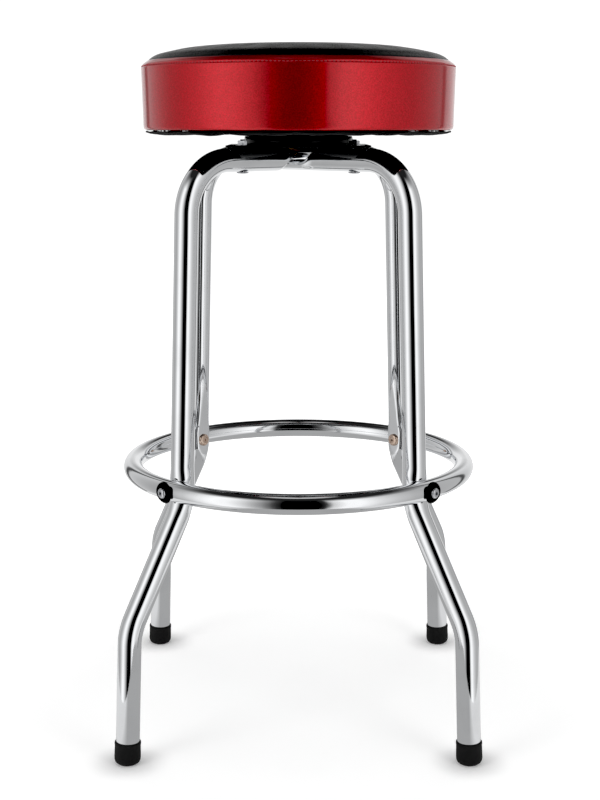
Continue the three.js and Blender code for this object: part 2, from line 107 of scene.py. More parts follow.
class Bench:
    """Primitives, picking by place, and the edit-mode moves that every piece shares."""

    @staticmethod
    def clear() -> None:
        """Deselects everything."""
        bpy.ops.object.select_all(action="DESELECT")

    @staticmethod
    def take(piece: bpy.types.Object) -> None:
        """Makes a piece the only selected object, and the active one."""
        Bench.clear()
        piece.select_set(True)
        bpy.context.view_layer.objects.active = piece

    @staticmethod
    def add(primitive: Callable[..., set], name: str, **sizes: object) -> bpy.types.Object:
        """Adds a named primitive as the only selected object.

        Args:
            primitive: The bpy.ops operator that adds it.
            name: The name of the object and its mesh.
            sizes: The operator's own arguments.

        Returns:
            The new object.
        """
        Bench.clear()
        primitive(**sizes)
        piece = bpy.context.object
        piece.name = name
        piece.data.name = name
        return piece

    @staticmethod
    @contextmanager
    def editing(piece: bpy.types.Object) -> Iterator[None]:
        """Holds a piece in edit mode for the length of a with block."""
        Bench.take(piece)
        bpy.ops.object.mode_set(mode="EDIT")
        yield
        bpy.ops.object.mode_set(mode="OBJECT")

    @staticmethod
    def pick(
        piece: bpy.types.Object, test: Callable[[Vector], bool], kind: Pick = Pick.VERT
    ) -> None:
        """Selects what passes a test of its place, in edit mode.

        Args:
            piece: The object in edit mode.
            test: Says yes or no to a vertex's place, or to an edge's or face's middle.
            kind: What to select.
        """
        bpy.ops.mesh.select_mode(type=kind.value)
        bpy.ops.mesh.select_all(action="DESELECT")
        mesh = bmesh.from_edit_mesh(piece.data)
        if kind is Pick.VERT:
            for vert in mesh.verts:
                vert.select_set(test(vert.co))
        elif kind is Pick.EDGE:
            for edge in mesh.edges:
                edge.select_set(test((edge.verts[0].co + edge.verts[1].co) / 2))
        else:
            for face in mesh.faces:
                face.select_set(test(face.calc_center_median()))
        mesh.select_flush_mode()
        bmesh.update_edit_mesh(piece.data)

    @staticmethod
    def modify(piece: bpy.types.Object, kind: str, **settings: object) -> None:
        """Adds a modifier to a piece, sets it up and applies it."""
        Bench.take(piece)
        modifier = piece.modifiers.new(kind.lower(), kind)
        for name, value in settings.items():
            setattr(modifier, name, value)
        bpy.ops.object.modifier_apply(modifier=modifier.name)

    @staticmethod
    def settle(piece: bpy.types.Object, turn_out: bool = True) -> None:
        """Puts a piece's place in its mesh, merges doubles and turns its faces out."""
        Bench.take(piece)
        bpy.ops.object.transform_apply(location=True, rotation=True, scale=True)
        with Bench.editing(piece):
            bpy.ops.mesh.select_all(action="SELECT")
            bpy.ops.mesh.remove_doubles(threshold=1e-6)
            if turn_out:
                bpy.ops.mesh.normals_make_consistent(inside=False)

    @staticmethod
    def smooth(piece: bpy.types.Object, angle: float = 35.0) -> None:
        """Shades a piece smooth, but for edges sharper than an angle in degrees."""
        Bench.take(piece)
        bpy.ops.object.shade_smooth_by_angle(angle=math.radians(angle))

    @staticmethod
    def place(piece: bpy.types.Object, matrix: Matrix) -> bpy.types.Object:
        """Moves a settled piece's mesh by a matrix, and returns the piece."""
        piece.matrix_world = matrix
        Bench.take(piece)
        bpy.ops.object.transform_apply(location=True, rotation=True, scale=True)
        return piece

    @staticmethod
    def copy(piece: bpy.types.Object, name: str, matrix: Matrix) -> bpy.types.Object:
        """Copies a piece with a mesh of its own, and moves the copy's mesh by a matrix."""
        Bench.take(piece)
        bpy.ops.object.duplicate(linked=False)
        twin = bpy.context.object
        twin.name = name
        twin.data.name = name
        return Bench.place(twin, matrix)

    @staticmethod
    def drop(piece: bpy.types.Object) -> None:
        """Removes a piece that was only a tool or a pattern."""
        bpy.data.objects.remove(piece)

    @staticmethod
    def cut(piece: bpy.types.Object, tool: bpy.types.Object, how: str = "DIFFERENCE") -> None:
        """Cuts a piece with a tool, or joins the two, and removes the tool."""
        Bench.modify(piece, "BOOLEAN", object=tool, operation=how, solver="EXACT")
        Bench.drop(tool)

    @staticmethod
    def reshape(piece: bpy.types.Object, move: Callable[[np.ndarray], np.ndarray]) -> None:
        """Passes all of a mesh's points, as an array of x, y, z rows, through a function."""
        points = np.empty(len(piece.data.vertices) * 3, np.float32)
        piece.data.vertices.foreach_get("co", points)
        moved = move(points.reshape(-1, 3).astype(float))
        piece.data.vertices.foreach_set("co", moved.astype(np.float32).ravel())
        piece.data.update()

    @staticmethod
    def turn(name: str, profile: Profile, sides: int = 96) -> bpy.types.Object:
        """Turns a piece on the vertical axis, ring by ring, as on a lathe.

        Args:
            name: The piece's name.
            profile: Its (radius, height) points. A profile that begins or ends on the
                axis is closed there, and any other is bridged back to its start.
            sides: How many sides the round has.

        Returns:
            The turned piece, with its faces pointing out.
        """
        rings = [point for point in profile if point[0] > 0]
        first = rings[0]
        piece = Bench.add(
            bpy.ops.mesh.primitive_circle_add, name, vertices=sides, radius=first[0]
        )
        with Bench.editing(piece):
            bpy.ops.mesh.select_all(action="SELECT")
            bpy.ops.transform.translate(value=(0, 0, first[1]))
            for (r0, z0), (r1, z1) in pairwise(rings):
                bpy.ops.mesh.extrude_edges_move(
                    TRANSFORM_OT_translate={"value": (0, 0, z1 - z0)}
                )
                ratio = r1 / r0
                bpy.ops.transform.resize(value=(ratio, ratio, 1), center_override=(0, 0, z1))
            bpy.ops.mesh.select_mode(type="EDGE")
            bpy.ops.mesh.select_all(action="DESELECT")
            bpy.ops.mesh.select_non_manifold()
            if profile[0][0] > 0 and profile[-1][0] > 0:
                bpy.ops.mesh.bridge_edge_loops()
            else:
                bpy.ops.mesh.fill_holes(sides=0)
        Bench.settle(piece)
        return piece

    @staticmethod
    def fit(
        piece: bpy.types.Object,
        body: Body,
        slot: Slot,
        finish: "Finish",
        replaces: Sequence[str] = (),
    ) -> None:
        """Dresses a finished piece and hands it to the frame.

        Args:
            piece: The finished mesh.
            body: The rigid body that it moves with.
            slot: The record's material slot; not used.
            finish: What it is dressed in.
            replaces: The CAD nodes that it stands for.
        """
        piece.data.materials.clear()
        piece.data.materials.append(finish.material())
        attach(piece, body.value)
        if replaces:
            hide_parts(*replaces)
        LOG.info("%s: %d faces, rides on %s", piece.name, len(piece.data.polygons), body.value)


# ---- Finishes --------------------------------------------------------------------------


class Graph:
    """A node tree being wired."""

    def __init__(self, tree: bpy.types.NodeTree) -> None:
        """Starts on a tree with no nodes left in it."""
        self.tree = tree
        tree.nodes.clear()

    def node(
        self, kind: str, inputs: dict[str | int, object] | None = None, **settings: object
    ) -> bpy.types.Node:
        """Adds a node.

        Args:
            kind: The node's type, without the ShaderNode that it starts with.
            inputs: What goes into its sockets: another node's output, or a value.
            settings: The node's own properties.

        Returns:
            The new node.
        """
        name = kind if kind.startswith("NodeGroup") else "ShaderNode" + kind
        node = self.tree.nodes.new(name)
        for key, value in settings.items():
            setattr(node, key, value)
        return self.feed(node, inputs or {})

    def feed(self, node: bpy.types.Node, inputs: dict[str, object]) -> bpy.types.Node:
        """Links or sets a node's inputs, by name or number, and returns the node."""
        for key, value in inputs.items():
            if isinstance(value, bpy.types.NodeSocket):
                self.tree.links.new(value, node.inputs[key])
            else:
                node.inputs[key].default_value = value
        return node

    def group(self, tree: bpy.types.NodeTree, inputs: dict[str, object]) -> bpy.types.Node:
        """Places a shared node group, whose inputs exist only once it has its tree."""
        node = self.tree.nodes.new("ShaderNodeGroup")
        node.node_tree = tree
        return self.feed(node, inputs)

    def place(self, scale: tuple[float, float, float] = (1, 1, 1)) -> bpy.types.NodeSocket:
        """The object's own coordinates, in metres, scaled on each axis."""
        coordinates = self.node("TexCoord")
        mapping = self.node("Mapping", {"Vector": coordinates.outputs["Object"], "Scale": scale})
        return mapping.outputs["Vector"]

    def mottle(
        self, place: bpy.types.NodeSocket, scale: float, detail: float = 2.0
    ) -> bpy.types.NodeSocket:
        """Soft noise from 0 to 1 over a place."""
        node = self.node("TexNoise", {"Vector": place, "Scale": scale, "Detail": detail})
        return node.outputs["Fac"]

    def spread(
        self, value: bpy.types.NodeSocket, low: float, high: float, start: float = 0.3,
        end: float = 0.7,
    ) -> bpy.types.NodeSocket:
        """Maps a value from start..end to low..high, and holds it there outside."""
        node = self.node(
            "MapRange",
            {"Value": value, "From Min": start, "From Max": end, "To Min": low, "To Max": high},
        )
        return node.outputs["Result"]

    def blend(
        self, factor: bpy.types.NodeSocket, first: tuple, second: tuple
    ) -> bpy.types.NodeSocket:
        """Mixes two colours by a factor."""
        node = self.node("Mix", data_type="RGBA")
        self.tree.links.new(factor, node.inputs["Factor"])
        node.inputs["A"].default_value = (*first, 1)
        node.inputs["B"].default_value = (*second, 1)
        return node.outputs["Result"]

    def bump(
        self, height: bpy.types.NodeSocket, depth: float,
        under: bpy.types.NodeSocket | None = None,
    ) -> bpy.types.NodeSocket:
        """A normal from a height map whose full range is a depth in metres."""
        node = self.node("Bump", {"Height": height, "Distance": depth, "Strength": 1.0})
        if under is not None:
            self.tree.links.new(under, node.inputs["Normal"])
        return node.outputs["Normal"]


class Effects:
    """The node groups that several finishes share, each built once."""

    @staticmethod
    def build(
        name: str,
        inputs: dict[str, float | None],
        outputs: Sequence[str],
        wire: Callable[[Graph, bpy.types.Node, bpy.types.Node], None],
    ) -> bpy.types.NodeTree:
        """Makes a node group, or finds the one that is made already.

        Args:
            name: The group's name.
            inputs: Its inputs, with a default each, or None for a place.
            outputs: Its outputs, all plain values.
            wire: Wires the inside, from its input node to its output node.

        Returns:
            The group.
        """
        if name in bpy.data.node_groups:
            return bpy.data.node_groups[name]
        tree = bpy.data.node_groups.new(name, "ShaderNodeTree")
        graph = Graph(tree)
        for label, default in inputs.items():
            kind = "NodeSocketVector" if default is None else "NodeSocketFloat"
            socket = tree.interface.new_socket(label, in_out="INPUT", socket_type=kind)
            if default is not None:
                socket.default_value = default
        for label in outputs:
            tree.interface.new_socket(label, in_out="OUTPUT", socket_type="NodeSocketFloat")
        wire(graph, graph.node("NodeGroupInput"), graph.node("NodeGroupOutput"))
        return tree

    @staticmethod
    def grain() -> bpy.types.NodeTree:
        """Embossed vinyl grain: small pebbles between fine creases.

        Returns:
            A group that takes Place, Cell (pebbles per metre) and Unevenness, and gives
            Height and Crease, each from 0 to 1.
        """

        def wire(graph: Graph, given: bpy.types.Node, result: bpy.types.Node) -> None:
            """Pebbles from cell borders, roughened by noise."""
            wander = graph.node(
                "TexNoise", {"Vector": given.outputs["Place"], "Scale": 900.0, "Detail": 2.0}
            )
            shifted = graph.node(
                "VectorMath",
                {0: wander.outputs["Color"], 1: (0.0009, 0.0009, 0.0009)},
                operation="MULTIPLY",
            )
            place = graph.node(
                "VectorMath", {0: given.outputs["Place"], 1: shifted.outputs[0]}, operation="ADD"
            )
            cells = graph.node(
                "TexVoronoi",
                {"Vector": place.outputs[0], "Scale": given.outputs["Cell"]},
                feature="DISTANCE_TO_EDGE",
            )
            crease = graph.spread(cells.outputs["Distance"], 1.0, 0.0, 0.0, 0.16)
            soft = graph.mottle(given.outputs["Place"], 420.0)
            rough = graph.node(
                "Math", {0: soft, 1: given.outputs["Unevenness"]}, operation="MULTIPLY"
            )
            height = graph.node("Math", {0: rough.outputs[0], 1: crease}, operation="SUBTRACT")
            graph.tree.links.new(height.outputs[0], result.inputs["Height"])
            graph.tree.links.new(crease, result.inputs["Crease"])

        inputs = {"Place": None, "Cell": 700.0, "Unevenness": 0.6}
        return Effects.build("vinyl_grain", inputs, ["Height", "Crease"], wire)

    @staticmethod
    def handling() -> bpy.types.NodeTree:
        """Faint hairlines and smudges of use.

        Returns:
            A group that takes Place and Amount, and gives Smudge and Hairline, each
            from 0 to 1.
        """

        def wire(graph: Graph, given: bpy.types.Node, result: bpy.types.Node) -> None:
            """Smudges from broad noise, and hairlines from noise drawn out along one way."""
            smudge = graph.mottle(given.outputs["Place"], 22.0, 5.0)
            patch = graph.spread(smudge, 0.0, 1.0, 0.48, 0.72)
            drawn = graph.node(
                "VectorMath", {0: given.outputs["Place"], 1: (1.0, 1.0, 0.05)},
                operation="MULTIPLY",
            )
            lines = graph.mottle(drawn.outputs[0], 1500.0, 1.0)
            hair = graph.spread(lines, 0.0, 1.0, 0.62, 0.7)
            for value, label in ((patch, "Smudge"), (hair, "Hairline")):
                scaled = graph.node(
                    "Math", {0: value, 1: given.outputs["Amount"]}, operation="MULTIPLY"
                )
                graph.tree.links.new(scaled.outputs[0], result.inputs[label])

        inputs = {"Place": None, "Amount": 1.0}
        return Effects.build("handling_marks", inputs, ["Smudge", "Hairline"], wire)


@dataclass(frozen=True)
class Finish:
    """A finish that pieces are dressed in."""

    name: str

    def material(self) -> bpy.types.Material:
        """This finish's material, made the first time that it is asked for."""
        found = bpy.data.materials.get(self.name)
        if found:
            return found
        material = bpy.data.materials.new(self.name)
        material.use_nodes = True
        graph = Graph(material.node_tree)
        shader = graph.node("BsdfPrincipled")
        self.wire(graph, shader)
        graph.node("OutputMaterial", {"Surface": shader.outputs["BSDF"]})
        return material

    def wire(self, graph: Graph, shader: bpy.types.Node) -> None:
        """Wires the finish into its shader.

        Args:
            graph: The material's node tree.
            shader: Its Principled BSDF.
        """
        raise NotImplementedError


@dataclass(frozen=True)
class Chrome(Finish):
    """Bright chrome plate on drawn and polished steel tube."""

    name: str = "chrome_plate"
    tint: tuple[float, float, float] = (0.86, 0.87, 0.885)

    def wire(self, graph: Graph, shader: bpy.types.Node) -> None:
        """A mirror with a little haze, smudges and the faint waviness of polishing."""
        place = graph.place()
        marks = graph.group(Effects.handling(), {"Place": place, "Amount": 1.0})
        shader.inputs["Metallic"].default_value = 1.0
        shade = graph.blend(
            marks.outputs["Smudge"], self.tint, tuple(0.94 * c for c in self.tint)
        )
        graph.tree.links.new(shade, shader.inputs["Base Color"])
        haze = graph.spread(marks.outputs["Smudge"], 0.035, 0.085, 0.0, 1.0)
        scratched = graph.node(
            "MapRange",
            {"Value": marks.outputs["Hairline"], "To Min": 0.0, "To Max": 0.05},
        )
        rough = graph.node("Math", {0: haze, 1: scratched.outputs[0]}, operation="ADD")
        graph.tree.links.new(rough.outputs[0], shader.inputs["Roughness"])
        wave = graph.mottle(graph.place((1, 1, 0.25)), 120.0, 1.0)
        graph.tree.links.new(graph.bump(wave, 0.00003), shader.inputs["Normal"])


@dataclass(frozen=True)
class Vinyl(Finish):
    """Upholstery vinyl with an embossed grain."""

    name: str = "black_seat_vinyl"
    deep: tuple[float, float, float] = (0.0015, 0.0015, 0.0017)
    worn: tuple[float, float, float] = (0.004, 0.004, 0.0043)
    metallic: float = 0.0
    roughness: tuple[float, float] = (0.2, 0.3)
    grain: float = 650.0
    depth: float = 0.00006
    coat: float = 0.0
    coat_roughness: float = 0.15
    specular: float = 0.4

    def wire(self, graph: Graph, shader: bpy.types.Node) -> None:
        """Two shades, mottled at the size of the grain, over pebbled relief."""
        place = graph.place()
        grain = graph.group(
            Effects.grain(), {"Place": place, "Cell": self.grain, "Unevenness": 0.7}
        )
        shader.inputs["Metallic"].default_value = self.metallic
        shader.inputs["Coat Weight"].default_value = self.coat
        shader.inputs["Coat Roughness"].default_value = self.coat_roughness
        shader.inputs["Specular IOR Level"].default_value = self.specular
        patches = graph.mottle(place, 750.0, 3.0)
        tone = graph.spread(patches, 0.0, 1.0, 0.36, 0.64)
        graph.tree.links.new(
            graph.blend(tone, self.deep, self.worn), shader.inputs["Base Color"]
        )
        rough = graph.spread(grain.outputs["Height"], self.roughness[1], self.roughness[0])
        graph.tree.links.new(rough, shader.inputs["Roughness"])
        broad = graph.mottle(place, 55.0, 2.0)
        swell = graph.bump(broad, 0.00022)
        graph.tree.links.new(
            graph.bump(grain.outputs["Height"], self.depth, swell), shader.inputs["Normal"]
        )


@dataclass(frozen=True)
class Painted(Finish):
    """Paint or moulded rubber: one dark shade with patches of dust."""

    name: str = "black_paint"
    base: tuple[float, float, float] = (0.0015, 0.0015, 0.0016)
    dust: tuple[float, float, float] = (0.005, 0.005, 0.005)
    roughness: tuple[float, float] = (0.14, 0.26)
    specular: float = 0.2
    peel: float = 380.0
    depth: float = 0.00004

    def wire(self, graph: Graph, shader: bpy.types.Node) -> None:
        """Orange peel or moulding texture, and patches of fine dust."""
        place = graph.place()
        marks = graph.group(Effects.handling(), {"Place": place, "Amount": 1.0})
        graph.tree.links.new(
            graph.blend(marks.outputs["Smudge"], self.base, self.dust),
            shader.inputs["Base Color"],
        )
        rough = graph.spread(marks.outputs["Smudge"], *self.roughness, 0.0, 1.0)
        graph.tree.links.new(rough, shader.inputs["Roughness"])
        peel = graph.mottle(place, self.peel, 3.0)
        graph.tree.links.new(graph.bump(peel, self.depth), shader.inputs["Normal"])
        shader.inputs["Specular IOR Level"].default_value = self.specular


@dataclass(frozen=True)
class Plated(Finish):
    """Bare or plated fastener steel, with a faint crystalline mottle."""

    name: str = "zinc_plate"
    light: tuple[float, float, float] = (0.7, 0.71, 0.73)
    dark: tuple[float, float, float] = (0.5, 0.51, 0.54)
    roughness: tuple[float, float] = (0.16, 0.32)

    def wire(self, graph: Graph, shader: bpy.types.Node) -> None:
        """Two metal shades in small patches, rougher where it is darker."""
        place = graph.place()
        shader.inputs["Metallic"].default_value = 1.0
        patches = graph.mottle(place, 450.0, 4.0)
        tone = graph.spread(patches, 0.0, 1.0)
        graph.tree.links.new(
            graph.blend(tone, self.light, self.dark), shader.inputs["Base Color"]
        )
        graph.tree.links.new(
            graph.spread(tone, *self.roughness, 0.0, 1.0), shader.inputs["Roughness"]
        )
        graph.tree.links.new(graph.bump(patches, 0.00002), shader.inputs["Normal"])


@dataclass(frozen=True)
class Thread(Finish):
    """Twisted polyester sewing thread."""

    name: str = "red_thread"
    light: tuple[float, float, float] = (0.46, 0.022, 0.035)
    dark: tuple[float, float, float] = (0.2, 0.004, 0.01)

    def wire(self, graph: Graph, shader: bpy.types.Node) -> None:
        """Fine twisted strands."""
        shader.inputs["Roughness"].default_value = 0.5
        shader.inputs["Sheen Weight"].default_value = 0.15
        strands = graph.mottle(graph.place(), 2600.0, 1.0)
        tone = graph.spread(strands, 0.0, 1.0)
        graph.tree.links.new(
            graph.blend(tone, self.light, self.dark), shader.inputs["Base Color"]
        )
        graph.tree.links.new(graph.bump(strands, 0.00006), shader.inputs["Normal"])


@dataclass(frozen=True)
class Cloth(Finish):
    """Non-woven cloth of pressed fibres, also used for open foam."""

    name: str = "dust_cloth"
    light: tuple[float, float, float] = (0.006, 0.006, 0.0065)
    dark: tuple[float, float, float] = (0.0012, 0.0012, 0.0012)
    fibre: float = 800.0
    depth: float = 0.0002
    roughness: float = 0.75

    def wire(self, graph: Graph, shader: bpy.types.Node) -> None:
        """Matt fibres in two shades."""
        shader.inputs["Roughness"].default_value = self.roughness
        shader.inputs["Specular IOR Level"].default_value = 0.12
        fibres = graph.mottle(graph.place((1, 1, 0.4)), self.fibre, 5.0)
        tone = graph.spread(fibres, 0.0, 1.0)
        graph.tree.links.new(
            graph.blend(tone, self.dark, self.light), shader.inputs["Base Color"]
        )
        graph.tree.links.new(graph.bump(fibres, self.depth), shader.inputs["Normal"])


@dataclass(frozen=True)
class Plywood(Finish):
    """Unfinished plywood: face grain, and plies along the edge."""

    name: str = "plywood_board"
    ply: float = 0.0016

    def wire(self, graph: Graph, shader: bpy.types.Node) -> None:
        """Streaks along the face, crossed by the plies' dark glue lines in height."""
        streaks = graph.mottle(graph.place((1, 14, 1)), 24.0, 6.0)
        tone = graph.spread(streaks, 0.0, 1.0)
        plies = graph.node(
            "TexWave",
            {"Vector": graph.place(), "Scale": 0.314 / self.ply, "Distortion": 0.6},
            bands_direction="Z",
        )
        face = graph.blend(tone, (0.5, 0.31, 0.15), (0.32, 0.18, 0.08))
        mixed = graph.node("Mix", data_type="RGBA", blend_type="MULTIPLY")
        mixed.inputs["Factor"].default_value = 0.4
        graph.tree.links.new(face, mixed.inputs["A"])
        graph.tree.links.new(plies.outputs["Color"], mixed.inputs["B"])
        graph.tree.links.new(mixed.outputs["Result"], shader.inputs["Base Color"])
        shader.inputs["Roughness"].default_value = 0.75
        graph.tree.links.new(graph.bump(streaks, 0.0001), shader.inputs["Normal"])


@dataclass(frozen=True)
class StageCard(Finish):
    """A plain matt surface of the studio, which can give light too."""

    name: str = "studio_floor"
    shade: float = 0.9
    glow: float = 0.0
    far_glow: float = 0.0
    reach: tuple[float, float] = (0.3, 1.2)

    def wire(self, graph: Graph, shader: bpy.types.Node) -> None:
        """One even shade, whose light changes from its middle outwards."""
        shader.inputs["Base Color"].default_value = (self.shade, self.shade, self.shade, 1)
        shader.inputs["Roughness"].default_value = 1.0
        shader.inputs["Specular IOR Level"].default_value = 0.0
        shader.inputs["Emission Strength"].default_value = 1.0
        graph.tree.links.new(self.light(graph), shader.inputs["Emission Color"])

    def light(self, graph: Graph) -> bpy.types.NodeSocket:
        """The card's own light, from the glow at its middle to the glow far out."""
        out = graph.node("VectorMath", {0: graph.place()}, operation="LENGTH")
        far = graph.spread(out.outputs["Value"], 0.0, 1.0, *self.reach)
        return graph.blend(far, (self.glow,) * 3, (self.far_glow,) * 3)


@dataclass(frozen=True)
class StageFloor(StageCard):
    """The floor card, with a painted contact shadow: its glow is dimmed close to the feet of the
    stool.
    """

    feet: float = 0.1833
    # The painted shadow round each foot: where it starts and fades out, and how much of the glow
    # it takes away.
    halo: tuple[float, float] = (0.008, 0.05)
    shadow: float = 0.6

    def light(self, graph: Graph) -> bpy.types.NodeSocket:
        """The card's light, less a painted soft shadow round each foot."""
        aside = graph.node("VectorMath", {0: graph.place()}, operation="ABSOLUTE")
        foot = graph.node(
            "VectorMath", {0: aside.outputs[0], 1: (self.feet, self.feet, 0.0)},
            operation="DISTANCE",
        )
        near = graph.node(
            "MapRange",
            {
                "Value": foot.outputs["Value"], "From Min": self.halo[0],
                "From Max": self.halo[1], "To Min": 1 - self.shadow, "To Max": 1.0,
            },
            interpolation_type="SMOOTHSTEP",
        )
        # Scales the glow down near the feet: this is the painted contact shadow.
        glow_with_painted_shadow = graph.node(
            "VectorMath", {0: super().light(graph), "Scale": near.outputs["Result"]},
            operation="SCALE",
        )
        return glow_with_painted_shadow.outputs[0]


@dataclass(frozen=True)
class FloorSheen(StageCard):
    """What the tubes mirror of the floor: brighter outside the feet than between them."""

    name: str = "floor_sheen"
    shade: float = 0.0
    glow: float = 0.42
    far_glow: float = 0.78
    reach: tuple[float, float] = (0.185, 0.27)

    def light(self, graph: Graph) -> bpy.types.NodeSocket:
        """The sheen's light, by the distance to the left or right of the middle."""
        split = graph.node("SeparateXYZ", {0: graph.place()})
        aside = graph.node("Math", {0: split.outputs["X"]}, operation="ABSOLUTE")
        far = graph.spread(aside.outputs[0], 0.0, 1.0, *self.reach)
        return graph.blend(far, (self.glow,) * 3, (self.far_glow,) * 3)


CHROME = Chrome()
BLACK_VINYL = Vinyl()
RED_VINYL = Vinyl(
    name="red_pearl_vinyl",
    deep=(0.5, 0.0015, 0.006),
    worn=(0.74, 0.006, 0.02),
    metallic=0.92,
    roughness=(0.26, 0.34),
    grain=800.0,
    depth=0.00003,
    coat=1.0,
    coat_roughness=0.07,
)
BLACK_PAINT = Painted()
RUBBER = Painted(
    name="black_rubber",
    base=(0.0012, 0.0012, 0.0012),
    dust=(0.0035, 0.0035, 0.0035),
    roughness=(0.5, 0.7),
    peel=900.0,
    depth=0.00008,
    specular=0.12,
)
WASHER_BLACK = Painted(
    name="black_washer",
    base=(0.001, 0.001, 0.001),
    dust=(0.002, 0.002, 0.002),
    roughness=(0.4, 0.55),
    specular=0.1,
)
ZINC = Plated()
TINTED = Plated(
    name="tinted_plate", light=(0.82, 0.66, 0.55), dark=(0.5, 0.36, 0.28),
    roughness=(0.14, 0.26),
)
BALL_STEEL = Plated(
    name="ball_steel", light=(0.76, 0.77, 0.79), dark=(0.66, 0.67, 0.7), roughness=(0.05, 0.1)
)
THREAD = Thread()
DUST_CLOTH = Cloth()
FOAM = Cloth(
    name="open_foam", light=(0.78, 0.66, 0.36), dark=(0.55, 0.44, 0.2), fibre=1400.0,
    depth=0.0004, roughness=0.95,
)
PLYWOOD = Plywood()


# ---- The stand -------------------------------------------------------------------------


